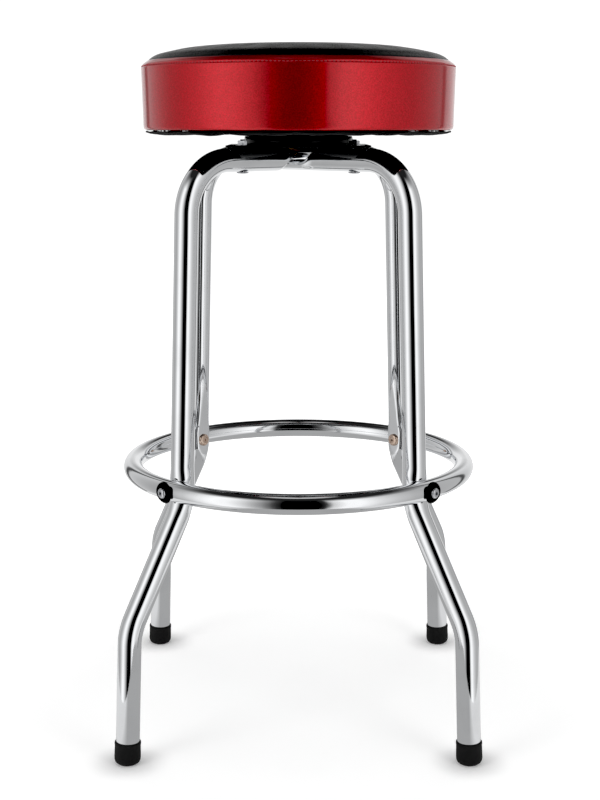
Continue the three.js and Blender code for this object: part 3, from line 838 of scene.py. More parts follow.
@dataclass
class TubeFrame:
    """A bent tube with two legs, pressed flat at the crossing and hollowed for the ring.

    It is made in its own upright plane, X along the bar, and then turned about the axis.
    """

    name: str
    azimuth: float
    side: int
    radius: float = 0.0127
    sides: int = 48
    bar_height: float = 0.636
    foot: tuple[float, float] = (0.2595, 0.0036)
    lower_knee: tuple[float, float] = (0.2525, 0.1457)
    knee_height: float = 0.2687
    ring_height: float = 0.2884
    ring_leg: float = 0.177
    splay: float = 0.0406
    knee_bend: float = 0.06
    top_bend: float = 0.058
    ring_radius: float = 0.1906
    ring_tube: float = 0.0111
    ring_gap: float = 0.00035
    inner_face: float = 0.167
    ring_press: tuple[float, float] = (0.009, 0.026)
    flat_slope: float = 0.09
    flat_length: float = 0.072
    flat: float = 0.016
    blend: float = 0.034
    pressed_height: float = 0.0125
    widening: float = 0.1

    def leg_at(self, height: float) -> float:
        """The leg's distance from the stool's axis at a height."""
        return self.ring_leg + self.splay * (self.ring_height - height)

    def corners(self) -> list[Vector]:
        """The corners of the centre line, from the foot to the middle of the bar."""
        line = [
            self.foot,
            self.lower_knee,
            (self.leg_at(self.knee_height), self.knee_height),
            (self.leg_at(self.bar_height), self.bar_height),
            (0.0, self.bar_height),
        ]
        return [Vector((r, 0.0, z)) for r, z in line]

    def steps_between(self, start: Vector, end: Vector) -> list[Vector]:
        """Cuts a straight run finely where it is pressed, and leaves the rest whole.

        Args:
            start: Where the run begins.
            end: Where it ends.

        Returns:
            The points to extrude to, the last of them the end.
        """
        length = (end - start).length
        points = []
        for i in range(1, int(length / 0.0015)):
            point = start.lerp(end, i * 0.0015 / length)
            above = point.z - self.ring_height
            pressed = -self.ring_press[1] - 0.003 < above < self.flat_length + 0.003
            crossed = point.z > self.bar_height - 1e-4 and abs(point.x) < self.blend + 0.002
            if pressed or crossed:
                points.append(point)
        return [*points, end]

    def sweep(self, piece: bpy.types.Object) -> None:
        """Extrudes and spins the tube's end along its centre line, in edit mode.

        Args:
            piece: A disc that lies across the foot of the line; not used.
        """
        corners = self.corners()
        radii = [self.knee_bend, self.knee_bend, self.top_bend]
        here = corners[0]
        for i, radius in enumerate(radii, start=1):
            inward = (corners[i] - corners[i - 1]).normalized()
            outward = (corners[i + 1] - corners[i]).normalized()
            turn = math.atan2(
                inward.x * outward.z - inward.z * outward.x, inward.dot(outward)
            )
            tangent = radius * math.tan(abs(turn) / 2)
            here = self.run(here, corners[i] - inward * tangent)
            sign = math.copysign(1.0, turn)
            beside = Vector((-inward.z, 0.0, inward.x)) * sign
            bpy.ops.mesh.spin(
                steps=max(10, int(abs(turn) * radius / 0.0025)),
                angle=abs(turn),
                center=here + beside * radius,
                axis=(0.0, sign, 0.0),
            )
            here = corners[i] + outward * tangent
        self.run(here, corners[-1])

    def run(self, start: Vector, end: Vector) -> Vector:
        """Extrudes the selected end along a straight run, and returns where that ends."""
        for point in self.steps_between(start, end):
            bpy.ops.mesh.extrude_region_move(
                TRANSFORM_OT_translate={"value": tuple(point - start)}
            )
            start = point
        return end

    def press(self, points: np.ndarray) -> np.ndarray:
        """Presses the crossing, the saddle for the ring and the flat under its bolt head."""
        x, y, z = points.T.copy()
        reach = np.clip((np.abs(x) - self.flat) / (self.blend - self.flat), 0, 1)
        at_bar = z > self.bar_height - self.radius - 0.001
        pressed = np.where(at_bar, 1 - reach * reach * (3 - 2 * reach), 0)
        kept = self.bar_height + self.side * self.radius
        flat = kept - (kept - z) * self.pressed_height / (2 * self.radius)
        z = z + (flat - z) * pressed
        y = y * (1 + self.widening * pressed)
        drop = np.abs(z - self.ring_height)
        near, far = self.ring_press
        reach = np.clip((drop - near) / (far - near), 0, 1)
        pressed = 1 - reach * reach * (3 - 2 * reach)
        y = y * (1 + self.widening * pressed)
        floor = self.inner_face - self.flat_slope * np.maximum(drop - near, 0)
        r = np.where(drop < self.flat_length, np.maximum(np.abs(x), floor), np.abs(x))
        clear = self.ring_tube + self.ring_gap
        hollow = self.ring_radius - np.sqrt(np.maximum(clear**2 - drop**2, 0))
        saddle = np.sqrt(np.maximum(hollow**2 - y**2, 0))
        r = np.where(drop < clear, np.minimum(r, saddle), r)
        return np.column_stack([np.sign(x) * r, y, z])

    def build(self) -> bpy.types.Object:
        """Models the frame and dresses it in chrome.

        Returns:
            The finished frame.
        """
        corners = self.corners()
        first = (corners[1] - corners[0]).normalized()
        piece = Bench.add(
            bpy.ops.mesh.primitive_circle_add,
            f"leg_tubes_{self.name}",
            vertices=self.sides,
            radius=self.radius,
            fill_type="NGON",
            location=corners[0],
            rotation=first.to_track_quat("Z", "Y").to_euler(),
        )
        Bench.take(piece)
        bpy.ops.object.transform_apply(location=True, rotation=True, scale=True)
        with Bench.editing(piece):
            bpy.ops.mesh.select_mode(type="FACE")
            bpy.ops.mesh.select_all(action="SELECT")
            self.sweep(piece)
            bpy.ops.mesh.delete(type="FACE")
        Bench.modify(piece, "MIRROR", use_axis=(True, False, False), merge_threshold=1e-5)
        Bench.settle(piece)
        Bench.reshape(piece, self.press)
        Bench.place(piece, Matrix.Rotation(math.radians(self.azimuth), 4, "Z"))
        with Bench.editing(piece):
            bpy.ops.mesh.select_all(action="SELECT")
            bpy.ops.mesh.normals_make_consistent(inside=False)
        Bench.smooth(piece, 38)
        Bench.fit(piece, Body.FRAME, Slot.CHROME, CHROME, [f"leg_frame_{self.name}"])
        return piece


@dataclass
class FootRing:
    """The round foot ring, drilled for the four barrel nuts."""

    radius: float = 0.1906
    tube: float = 0.0111
    height: float = 0.2884
    hole: float = 0.0045

    def build(self) -> None:
        """Models the ring and dresses it in chrome."""
        ring = Bench.add(
            bpy.ops.mesh.primitive_torus_add,
            "foot_ring_tube",
            major_radius=self.radius,
            minor_radius=self.tube,
            major_segments=240,
            minor_segments=48,
            location=(0, 0, self.height),
        )
        Bench.settle(ring)
        for turn in (45.0, 135.0):
            drill = Bench.add(
                bpy.ops.mesh.primitive_cylinder_add,
                "drill",
                vertices=32,
                radius=self.hole,
                depth=3 * self.radius,
                location=(0, 0, self.height),
                rotation=(0, math.pi / 2, math.radians(turn)),
            )
            Bench.cut(ring, drill)
        Bench.settle(ring)
        Bench.smooth(ring, 40)
        Bench.fit(ring, Body.FRAME, Slot.CHROME, CHROME, ["foot_ring"])


@dataclass
class FootCap:
    """The rubber cup on the end of a leg, in line with the leg and level underneath."""

    foot: tuple[float, float] = (0.2595, 0.0036)
    run: float = 0.0493
    bore: float = 0.01295
    outside: float = 0.0142
    height: float = 0.025
    floor: float = 0.0032
    sole: float = 0.004
    tread: float = 0.0098

    def profile(self) -> Profile:
        """The cup's turned outline: a rounded sole and a tapered wall with a bead."""
        out, top, tread = self.outside, self.height, self.tread
        return [
            (0, -self.sole), (tread - 0.002, -self.sole), (tread, 0.0),
            (tread + 0.0016, 0.0009), (out - 0.0013, 0.0023), (out - 0.0006, 0.0037),
            (out - 0.0002, 0.0052), (out, 0.007), (out - 0.0001, 0.012),
            (out - 0.00035, top - 0.0042), (out - 0.0001, top - 0.0034),
            (out, top - 0.0024), (out - 0.0001, top - 0.0013), (out - 0.0004, top - 0.0004),
            (out - 0.0008, top), (self.bore + 0.0001, top), (self.bore, top - 0.0004),
            (self.bore, self.floor), (0, self.floor),
        ]

    def build(self) -> None:
        """Models one cup, trims it level with the floor and copies it to the legs."""
        cup = Bench.turn("foot_cup_pattern", self.profile(), 64)
        radius = self.foot[0] + self.run * self.foot[1]
        tilt = Matrix.Rotation(-math.atan(self.run), 4, "Y")
        Bench.place(cup, Matrix.Translation((radius, 0, 0)) @ tilt)
        with Bench.editing(cup):
            bpy.ops.mesh.select_all(action="SELECT")
            bpy.ops.mesh.bisect(
                plane_co=(0, 0, 0), plane_no=(0, 0, 1), use_fill=True, clear_inner=True
            )
            Bench.pick(cup, lambda p: p.z < 1e-5)
            bpy.ops.mesh.bevel(offset=0.0004, segments=2, affect="EDGES")
        Bench.settle(cup)
        Bench.reshape(cup, lambda points: np.maximum(points, (-math.inf, -math.inf, 0.0)))
        for leg in Leg:
            twin = Bench.copy(
                cup, f"rubber_cap_{leg.suffix}", Matrix.Rotation(math.radians(leg.value), 4, "Z")
            )
            Bench.smooth(twin, 32)
            Bench.fit(twin, Body.FRAME, Slot.RUBBER, RUBBER, [f"foot_cap_{leg.suffix}"])
        Bench.drop(cup)


class Drive:
    """Cutters for the drive recesses of screws, each pointing up to a head's face at z 0."""

    @staticmethod
    def cross(span: float, width: float, depth: float) -> bpy.types.Object:
        """A cross recess: two tapered bars and the cone between them.

        Args:
            span: Its width from tip to tip, at the face.
            width: How wide each arm is.
            depth: How deep it goes.

        Returns:
            The cutter, whose deep end is at +depth and mouth below z 0.
        """
        arms = []
        for turn in (0.0, math.pi / 2):
            arm = Bench.add(
                bpy.ops.mesh.primitive_cube_add, "recess", size=1,
                location=(0, 0, 0), rotation=(0, 0, 0),
            )
            arm.scale = (span, width, 2 * depth)
            bpy.ops.object.transform_apply(location=True, rotation=True, scale=True)
            with Bench.editing(arm):
                Bench.pick(arm, lambda p: p.z > 0)
                bpy.ops.transform.resize(value=(0.42, 0.8, 1), center_override=(0, 0, depth))
            arm.rotation_euler = (0, 0, turn)
            Bench.take(arm)
            bpy.ops.object.transform_apply(location=True, rotation=True, scale=True)
            arms.append(arm)
        Bench.cut(arms[0], arms[1], "UNION")
        return arms[0]

    @staticmethod
    def hexagon(radius: float, depth: float) -> bpy.types.Object:
        """A hexagon socket cutter of a corner radius and a depth."""
        tool = Bench.add(
            bpy.ops.mesh.primitive_cylinder_add, "socket", vertices=6, radius=radius,
            depth=2 * depth,
        )
        Bench.settle(tool)
        return tool


class Thread60:
    """Turned outlines of machine threads, as rings of a fine pitch."""

    @staticmethod
    def ridges(radius: float, low: float, high: float, pitch: float = 0.0008) -> Profile:
        """A threaded length between two heights, from the low end to the high end."""
        count = int((high - low) / pitch)
        step = (high - low) / count
        outline = []
        for i in range(count):
            outline.append((radius - 0.45 * step, low + (i + 0.05) * step))
            outline.append((radius, low + (i + 0.5) * step))
        return [*outline, (radius - 0.45 * step, high)]


@dataclass
class RingFastening:
    """Bolt, saddle washer and cap nut that hold the foot ring to a leg.

    Each is turned upright, with z as the distance from the stool's axis, and then laid
    along its leg's radius at the height of the ring.
    """

    ring_radius: float = 0.1906
    ring_tube: float = 0.0111
    height: float = 0.2884
    face: float = 0.1667
    head: float = 0.0074
    head_height: float = 0.0032
    shank: float = 0.00285
    nut_face: float = 0.2045
    button: float = 0.0056
    button_height: float = 0.0032
    barrel: float = 0.0042
    washer: float = 0.0116
    washer_bore: float = 0.0046
    washer_thick: float = 0.0019
    washer_bend: float = 0.042

    def bolt(self) -> bpy.types.Object:
        """The pan head bolt, put in from the inside of the leg."""
        top, r = self.face - self.head_height, self.head
        tip = self.nut_face - 0.004
        outline = [
            (0, top), (0.45 * r, top + 0.00008), (0.68 * r, top + 0.0003),
            (0.84 * r, top + 0.00075), (0.94 * r, top + 0.0014), (0.99 * r, top + 0.0022),
            (r, self.face - 0.0004), (r - 0.0003, self.face), (self.shank, self.face),
            (self.shank, self.face + 0.014),
            *Thread60.ridges(self.shank, self.face + 0.015, tip),
            (self.shank - 0.001, tip + 0.0004), (0, tip + 0.0004),
        ]
        piece = Bench.turn("ring_pan_bolt", outline, 48)
        tool = Drive.cross(0.0046, 0.0012, 0.0018)
        Bench.place(tool, Matrix.Translation((0, 0, top)) @ Matrix.Rotation(0.4, 4, "Z"))
        Bench.cut(piece, tool)
        return piece

    def nut(self) -> bpy.types.Object:
        """The button headed barrel nut on the outside of the ring."""
        low, r = self.nut_face, self.button
        top, bore = low + self.button_height, self.shank + 0.00025
        outline = [
            (0, low - 0.001), (bore, low - 0.001), (bore, self.ring_radius - 0.008),
            (self.barrel - 0.0004, self.ring_radius - 0.008),
            (self.barrel, self.ring_radius - 0.0075), (self.barrel, low), (r - 0.0003, low),
            (r, low + 0.0003), (r, low + 0.0011), (0.965 * r, low + 0.0017),
            (0.88 * r, low + 0.0023), (0.74 * r, low + 0.0028), (0.5 * r, top),
            (0, top),
        ]
        piece = Bench.turn("ring_button_nut", outline, 48)
        tool = Drive.hexagon(0.0021, 0.002)
        Bench.place(tool, Matrix.Translation((0, 0, top)))
        Bench.cut(piece, tool)
        return piece

    def saddle(self) -> bpy.types.Object:
        """The rubber washer, turned flat and then drawn a little round the ring's tube."""
        bore, r, thick = self.washer_bore, self.washer, self.washer_thick
        outline = [
            *[(bore + (r - 0.0004 - bore) * i / 8, 0.0) for i in range(9)],
            (r - 0.0001, 0.0001), (r + 0.0001, 0.0004), (r + 0.0001, thick - 0.0006),
            (r - 0.0002, thick - 0.0002), (r - 0.0007, thick),
            *[(r - 0.0007 - (r - 0.0007 - bore) * i / 8, thick) for i in range(1, 9)],
        ]
        piece = Bench.turn("ring_saddle_washer", outline, 64)

        def bend(points: np.ndarray) -> np.ndarray:
            """Lays the flat washer on the ring: x along the ring, y up, z outwards."""
            along, up, out = points.T
            drop = self.washer_bend - np.sqrt(self.washer_bend**2 - up**2)
            touch = self.ring_radius + self.ring_tube + 0.0003
            return np.column_stack([along, up, touch + out - drop])

        Bench.reshape(piece, bend)
        return piece

    def build(self) -> None:
        """Models the three fasteners and copies them to the four legs."""
        upright = Matrix(((0, 0, 1, 0), (1, 0, 0, 0), (0, 1, 0, self.height), (0, 0, 0, 1)))
        pieces = (
            (self.bolt(), "ring_bolt", Slot.TINTED, TINTED),
            (self.nut(), "ring_cap_nut", Slot.ZINC, ZINC),
            (self.saddle(), "ring_washer", Slot.RUBBER, WASHER_BLACK),
        )
        for pattern, node, slot, finish in pieces:
            Bench.place(pattern, upright)
            Bench.settle(pattern)
            for leg in Leg:
                turn = Matrix.Rotation(math.radians(leg.value), 4, "Z")
                twin = Bench.copy(pattern, f"{pattern.name}_{leg.suffix}", turn)
                Bench.smooth(twin, 40)
                Bench.fit(twin, Body.FRAME, slot, finish, [f"{node}_{leg.suffix}"])
            Bench.drop(pattern)


# ---- The swivel ------------------------------------------------------------------------


@dataclass
class Swivel:
    """The two stamped plates of the ball swivel, its retaining ring and its bolts."""

    lower_side: float = 0.156
    lower_corner: float = 0.010
    lower_bottom: float = 0.649
    upper_side: float = 0.146
    upper_corner: float = 0.014
    upper_bottom: float = 0.6646
    sheet: float = 0.0023
    bore: float = 0.022
    ball_circle: float = 0.048
    ball_height: float = 0.6552
    groove: float = 0.00355
    race_face: float = 0.0013
    bolt_place: float = 0.06
    screw_place: float = 0.063
    tube_under: float = 0.6233

    def plate(self, name: str, side: float, corner: float, bottom: float) -> bpy.types.Object:
        """A square plate with round corners and broken edges.

        Args:
            name: The piece's name.
            side: Its width.
            corner: The radius of its corners.
            bottom: The height of its underside.

        Returns:
            The plate, not yet pierced.
        """
        piece = Bench.add(
            bpy.ops.mesh.primitive_plane_add, name, size=side, location=(0, 0, bottom)
        )
        Bench.settle(piece)
        with Bench.editing(piece):
            bpy.ops.mesh.select_all(action="SELECT")
            bpy.ops.mesh.bevel(offset=corner, segments=10, affect="VERTICES")
            bpy.ops.mesh.select_all(action="SELECT")
            bpy.ops.mesh.extrude_region_move(
                TRANSFORM_OT_translate={"value": (0, 0, self.sheet)}
            )
        Bench.settle(piece)
        Bench.modify(
            piece, "BEVEL", width=0.0004, segments=2, limit_method="ANGLE",
            angle_limit=math.radians(50),
        )
        return piece

    def pierce(self, piece: bpy.types.Object, radius: float, spots: Sequence[tuple]) -> None:
        """Drills a plate from top to bottom at several spots."""
        for x, y in spots:
            drill = Bench.add(
                bpy.ops.mesh.primitive_cylinder_add, "drill", vertices=96 if radius > 0.02 else 32,
                radius=radius, depth=0.06, location=(x, y, self.ball_height),
            )
            Bench.cut(piece, drill)

    def groove_arc(self, up: bool) -> Profile:
        """The ball groove of a race, from the axis outwards."""
        reach = math.asin(self.race_face / self.groove)
        start, end = (math.pi - reach, reach) if up else (reach - math.pi, -reach)
        return [
            (
                self.ball_circle + self.groove * math.cos(start + (end - start) * i / 10),
                self.ball_height + self.groove * math.sin(start + (end - start) * i / 10),
            )
            for i in range(11)
        ]

    def corners(self, place: float) -> list[tuple[float, float]]:
        """Four spots at the corners of a square."""
        return [(place, -place), (place, place), (-place, place), (-place, -place)]

    def lower(self) -> None:
        """The plate with the lower race, bolted to the crossed tubes."""
        bottom = self.lower_bottom
        top, face = bottom + self.sheet, self.ball_height - self.race_face
        piece = self.plate(
            "swivel_plate_lower", self.lower_side, self.lower_corner, bottom
        )
        self.pierce(piece, 0.052, [(0, 0)])
        race = Bench.turn(
            "race",
            [
                (self.bore, bottom), (0.056, bottom), (0.056, face - 0.0005),
                (0.0555, face), *reversed(self.groove_arc(up=False)), (0.0405, face),
                (0.0398, face - 0.0005), (0.038, top), (self.bore, top),
            ],
            128,
        )
        Bench.cut(piece, race, "UNION")
        self.pierce(piece, 0.0034, self.corners(self.bolt_place))
        Bench.settle(piece)
        Bench.smooth(piece, 32)
        Bench.fit(
            piece, Body.FRAME, Slot.BLACK_STEEL, BLACK_PAINT, ["swivel_lower_plate"]
        )

    def upper(self) -> None:
        """The plate under the seat, dished down to the upper race."""
        bottom = self.upper_bottom
        top, face = bottom + self.sheet, self.ball_height + self.race_face
        rim = face + 0.0027
        piece = self.plate(
            "swivel_plate_upper", self.upper_side, self.upper_corner, bottom
        )
        self.pierce(piece, 0.0705, [(0, 0)])
        dish = Bench.turn(
            "dish",
            [
                (self.bore, face), *self.groove_arc(up=True), (0.0575, face),
                (0.0579, face + 0.0004), (0.0579, rim - 0.0004), (0.0575, rim),
                (0.0548, rim), (0.0548, rim + 0.0016), (0.0556, rim + 0.0025),
                (0.0575, rim + 0.0033), (0.069, bottom - 0.0002), (0.0705, bottom),
                (0.072, bottom), (0.072, top), (0.068, top), (0.0662, top - 0.0004),
                (0.0538, face + 0.0078), (0.0524, face + 0.0065), (0.0524, face + 0.0046),
                (self.bore, face + 0.0046),
            ],
            128,
        )
        Bench.cut(piece, dish, "UNION")
        self.pierce(piece, 0.0029, self.corners(self.screw_place))
        Bench.settle(piece)
        Bench.smooth(piece, 32)
        Bench.fit(piece, Body.SEAT, Slot.BLACK_STEEL, BLACK_PAINT, ["swivel_upper_plate"])

    def crimp(self) -> None:
        """The retaining ring, rolled over the rim of the upper race."""
        base = self.lower_bottom + self.sheet + 0.0003
        lip = self.ball_height + self.race_face + 0.0031
        piece = Bench.turn(
            "swivel_crimp_ring",
            [
                (0.0564, base), (0.0594, base), (0.0599, base + 0.0004), (0.06, base + 0.001),
                (0.06, lip - 0.0004), (0.0598, lip + 0.0004), (0.0593, lip + 0.0009),
                (0.0586, lip + 0.0012), (0.0558, lip + 0.0012), (0.0556, lip + 0.001),
                (0.0556, lip + 0.0002), (0.0558, lip), (0.0586, lip),
                (0.0586, base + 0.0012), (0.0564, base + 0.0012),
            ],
            128,
        )
        Bench.smooth(piece, 40)
        Bench.fit(
            piece, Body.FRAME, Slot.BLACK_STEEL, BLACK_PAINT, ["swivel_retaining_ring"]
        )

    def bolt(self) -> bpy.types.Object:
        """The round headed bolt under a tube, through the tube and the lower plate."""
        under, shank, head = self.tube_under - 0.0003, 0.0029, 0.0066
        top = self.lower_bottom + self.sheet + 0.0064
        outline = [
            (0, under - 0.0018), (0.35 * head, under - 0.00175), (0.62 * head, under - 0.00155),
            (0.83 * head, under - 0.0012), (0.95 * head, under - 0.0008),
            (head, under - 0.0004), (head - 0.0002, under), (shank, under),
            (shank, self.lower_bottom - 0.002),
            *Thread60.ridges(shank, self.lower_bottom - 0.0015, top - 0.0004),
            (shank - 0.0008, top), (0, top),
        ]
        return Bench.turn("plate_round_bolt", outline, 40)

    def nut(self) -> bpy.types.Object:
        """A hexagon nut with chamfered corners and a threaded bore."""
        bottom, height = self.lower_bottom + self.sheet + 0.0003, 0.0048
        piece = Bench.add(
            bpy.ops.mesh.primitive_cylinder_add, "plate_hex_nut", vertices=6, radius=0.0058,
            depth=height, location=(0, 0, bottom + height / 2), rotation=(0, 0, 0.2),
        )
        Bench.settle(piece)
        blank = Bench.turn(
            "blank",
            [
                (0, bottom), (0.0051, bottom), (0.006, bottom + 0.0005),
                (0.006, bottom + height - 0.0005), (0.0051, bottom + height),
                (0, bottom + height),
            ],
            48,
        )
        Bench.cut(piece, blank, "INTERSECT")
        bore = Bench.turn(
            "bore",
            [
                (0, bottom - 0.001), (0.0036, bottom - 0.001), (0.0036, bottom),
                (0.00315, bottom + 0.0005), (0.00315, bottom + height - 0.0005),
                (0.0036, bottom + height), (0.0036, bottom + height + 0.001),
                (0, bottom + height + 0.001),
            ],
            32,
        )
        Bench.cut(piece, bore)
        return piece

    def screw(self) -> bpy.types.Object:
        """A pan head wood screw, up through the upper plate into the board."""
        face, shank, head = self.upper_bottom - 0.0003, 0.0023, 0.005
        low = face - 0.0024
        outline = [
            (0, low), (0.5 * head, low + 0.0001), (0.78 * head, low + 0.0005),
            (0.93 * head, low + 0.0011), (head, low + 0.0018), (head - 0.0002, face),
            (shank, face), *Thread60.ridges(shank, face + 0.0035, face + 0.012, 0.0014),
            (0.001, face + 0.0155), (0, face + 0.0165),
        ]
        piece = Bench.turn("seat_wood_screw", outline, 40)
        tool = Drive.cross(0.0044, 0.001, 0.0014)
        Bench.place(tool, Matrix.Translation((0, 0, low)) @ Matrix.Rotation(0.9, 4, "Z"))
        Bench.cut(piece, tool)
        return piece

    def build(self) -> None:
        """Models the stampings, and copies each fastener to its four places."""
        self.lower()
        self.crimp()
        self.upper()
        rows = (
            (self.bolt(), "plate_bolt", self.bolt_place, Body.FRAME),
            (self.nut(), "plate_nut", self.bolt_place, Body.FRAME),
            (self.screw(), "seat_screw", self.screw_place, Body.SEAT),
        )
        for pattern, node, place, body in rows:
            Bench.settle(pattern)
            out = Matrix.Translation((place * math.sqrt(2), 0, 0))
            for leg in Leg:
                turn = Matrix.Rotation(math.radians(leg.value), 4, "Z")
                twin = Bench.copy(pattern, f"{pattern.name}_{leg.suffix}", turn @ out)
                Bench.smooth(twin, 36)
                Bench.fit(twin, body, Slot.ZINC, ZINC, [f"{node}_{leg.suffix}"])
            Bench.drop(pattern)


# ---- The seat --------------------------------------------------------------------------


@dataclass
class Seat:
    """The padded seat: vinyl skin in two colours over foam, stitched and stapled."""

    sides: int = 144
    hem: float = 0.150
    bottom: float = 0.667
    side: float = 0.1715
    lip: tuple[float, float] = (0.173, 0.7346)
    seam: tuple[float, float] = (0.1655, 0.741)
    crown: float = 0.762
    skin: float = 0.0013
    swell: float = 0.0021
    rise: tuple[float, float] = (0.0009, 0.0006)
    middle: float = 0.03
    stitch_pitch: float = 0.0042

    def dome(self) -> list[tuple[float, float]]:
        """The dome's outline, from beside the seam to the edge of its middle patch."""
        shape = [
            (0.1652, 0.7421), (0.1640, 0.7438), (0.1622, 0.7455), (0.1594, 0.7474),
            (0.1555, 0.7493), (0.1510, 0.7508), (0.1460, 0.7522), (0.1395, 0.7537),
            (0.1320, 0.7549), (0.1230, 0.7561), (0.1130, 0.7572), (0.1020, 0.7581),
            (0.0900, 0.7588), (0.0780, 0.7594), (0.0660, 0.7600), (0.0540, 0.7605),
            (0.0420, 0.7610), (self.middle, 0.7615),
        ]
        return shape

    def rows(self) -> list[tuple[float, float]]:
        """The skin's whole outline, from the hem under the seat to the dome's middle."""
        side, bottom, (lip, high) = self.side, self.bottom, self.lip
        hem = [
            (self.hem, bottom), (self.hem + 0.006, bottom), (self.hem + 0.012, bottom),
            (side - 0.005, bottom), (side - 0.0025, bottom + 0.0003),
            (side - 0.0010, bottom + 0.0012), (side - 0.0002, bottom + 0.0028),
        ]
        steps = 12
        climb = high - 0.0022 - bottom - 0.005
        wall = [
            (side + (lip - side) * i / steps, bottom + 0.005 + climb * i / steps)
            for i in range(steps + 1)
        ]
        edge = [
            (lip + 0.0001, high - 0.0012), (lip - 0.0001, high - 0.0004),
            (lip - 0.0009, high + 0.0001), (lip - 0.0011, high + 0.0008),
            (lip - 0.0009, high + 0.0016), (lip - 0.0014, high + 0.0026),
            (lip - 0.0026, high + 0.0038), (lip - 0.0044, high + 0.0051),
            (self.seam[0] + 0.0012, self.seam[1] + 0.0003),
            (self.seam[0] + 0.0004, self.seam[1] - 0.0001),
            (self.seam[0] + 0.0001, self.seam[1] - 0.0012),
            (self.seam[0] - 0.0001, self.seam[1] - 0.0010),
        ]
        return [*hem, *wall, *edge, *self.dome()]

    @staticmethod
    def uneven(points: np.ndarray) -> np.ndarray:
        """Moves points by the hand-pulled unevenness of the cover, the same every run."""
        moved = points.copy()
        for i, (x, y, z) in enumerate(points):
            around = Vector((x, y, 0)).normalized()
            low = max(0.0, 1 - (z - 0.667) / 0.016)
            pucker = noise.noise(around * 26 + Vector((7, 1, 3))) * 0.00055 * low
            wander = noise.noise(around * 4 + Vector((2, 5, 9))) * 0.00035
            lift = noise.noise(around * 7 + Vector((8, 8, 1))) * 0.0003
            reach = min(1.0, math.hypot(x, y) / 0.16)
            moved[i, 0] += around.x * (pucker + wander) * reach
            moved[i, 1] += around.y * (pucker + wander) * reach
            moved[i, 2] += (lift + 1.2 * pucker) * reach**4
        return moved

    def skin_shell(self) -> bpy.types.Object:
        """The whole skin as one open shell, with the dome in a second material slot.

        Returns:
            The shell, whose group named held has what is sewn or stapled.
        """
        rows = self.rows()
        piece = Bench.turn("seat_skin", [*rows, (0, rows[-1][1])], self.sides)
        with Bench.editing(piece):
            Bench.pick(
                piece,
                lambda p: math.hypot(p.x, p.y) < self.middle - 0.001 and p.z > 0.75
                or math.hypot(p.x, p.y) < 0.01,
                Pick.FACE,
            )
            bpy.ops.mesh.delete(type="ONLY_FACE")
            Bench.pick(piece, lambda p: abs(math.hypot(p.x, p.y) - self.middle) < 1e-4)
            bpy.ops.mesh.fill_grid(span=self.sides // 4)
        Bench.settle(piece)
        piece.data.materials.append(RED_VINYL.material())
        piece.data.materials.append(BLACK_VINYL.material())
        for face in piece.data.polygons:
            r = math.hypot(face.center.x, face.center.y)
            top = face.center.z > self.seam[1] - 0.002 and r < self.seam[0]
            face.material_index = int(top)
        held = piece.vertex_groups.new(name="held")
        for vert in piece.data.vertices:
            r, z = math.hypot(vert.co.x, vert.co.y), vert.co.z
            sewn = self.seam[0] - 0.0004 < r and z > self.lip[1] - 0.0014
            if sewn or z < self.bottom + 0.0014:
                held.add([vert.index], 1.0, "REPLACE")
        Bench.reshape(piece, self.settle_middle)
        return piece

    def settle_middle(self, points: np.ndarray) -> np.ndarray:
        """Curves the dome's flat middle patch, and draws the whole dome down a little."""
        r = np.hypot(points[:, 0], points[:, 1])
        crown = np.where(
            (r < self.middle + 1e-4) & (points[:, 2] > 0.75),
            self.crown - (self.crown - self.dome()[-1][1]) * (r / self.middle) ** 2,
            points[:, 2],
        )
        inside = np.clip((self.seam[0] - 0.002 - r) / 0.03, 0, 1)
        moved = points.copy()
        moved[:, 2] = crown - self.swell * inside * (points[:, 2] > 0.74)
        return moved

    def inflate(self, piece: bpy.types.Object) -> None:
        """Lets the cloth solver fill the skin, and caps how far it moved.

        Args:
            piece: The skin shell, which is changed where it is not held.
        """
        rest = np.empty(len(piece.data.vertices) * 3, np.float32)
        piece.data.vertices.foreach_get("co", rest)
        Bench.take(piece)
        cloth = piece.modifiers.new("filling", "CLOTH")
        cloth.settings.quality = 6
        cloth.settings.mass = 0.3
        cloth.settings.tension_stiffness = 18
        cloth.settings.compression_stiffness = 18
        cloth.settings.bending_stiffness = 2
        cloth.settings.use_pressure = True
        cloth.settings.uniform_pressure_force = 4
        cloth.settings.vertex_group_mass = "held"
        cloth.settings.effector_weights.gravity = 0
        cloth.collision_settings.use_collision = False
        for number in range(1, 21):
            bpy.context.scene.frame_set(number)
        bpy.ops.object.modifier_apply(modifier=cloth.name)
        base = rest.reshape(-1, 3).astype(float)

        def cap(points: np.ndarray) -> np.ndarray:
            """Eases every movement towards the swell that the foam allows."""
            shift = points - base
            length = np.linalg.norm(shift, axis=1, keepdims=True)
            r = np.hypot(base[:, 0], base[:, 1])[:, None]
            top = base[:, 2:3] > 0.741
            most = np.where(top, *self.rise) * np.ones_like(r)
            return base + shift / np.maximum(length, 1e-9) * most * np.tanh(length / most)

        Bench.reshape(piece, cap)
        bpy.context.scene.frame_set(1)

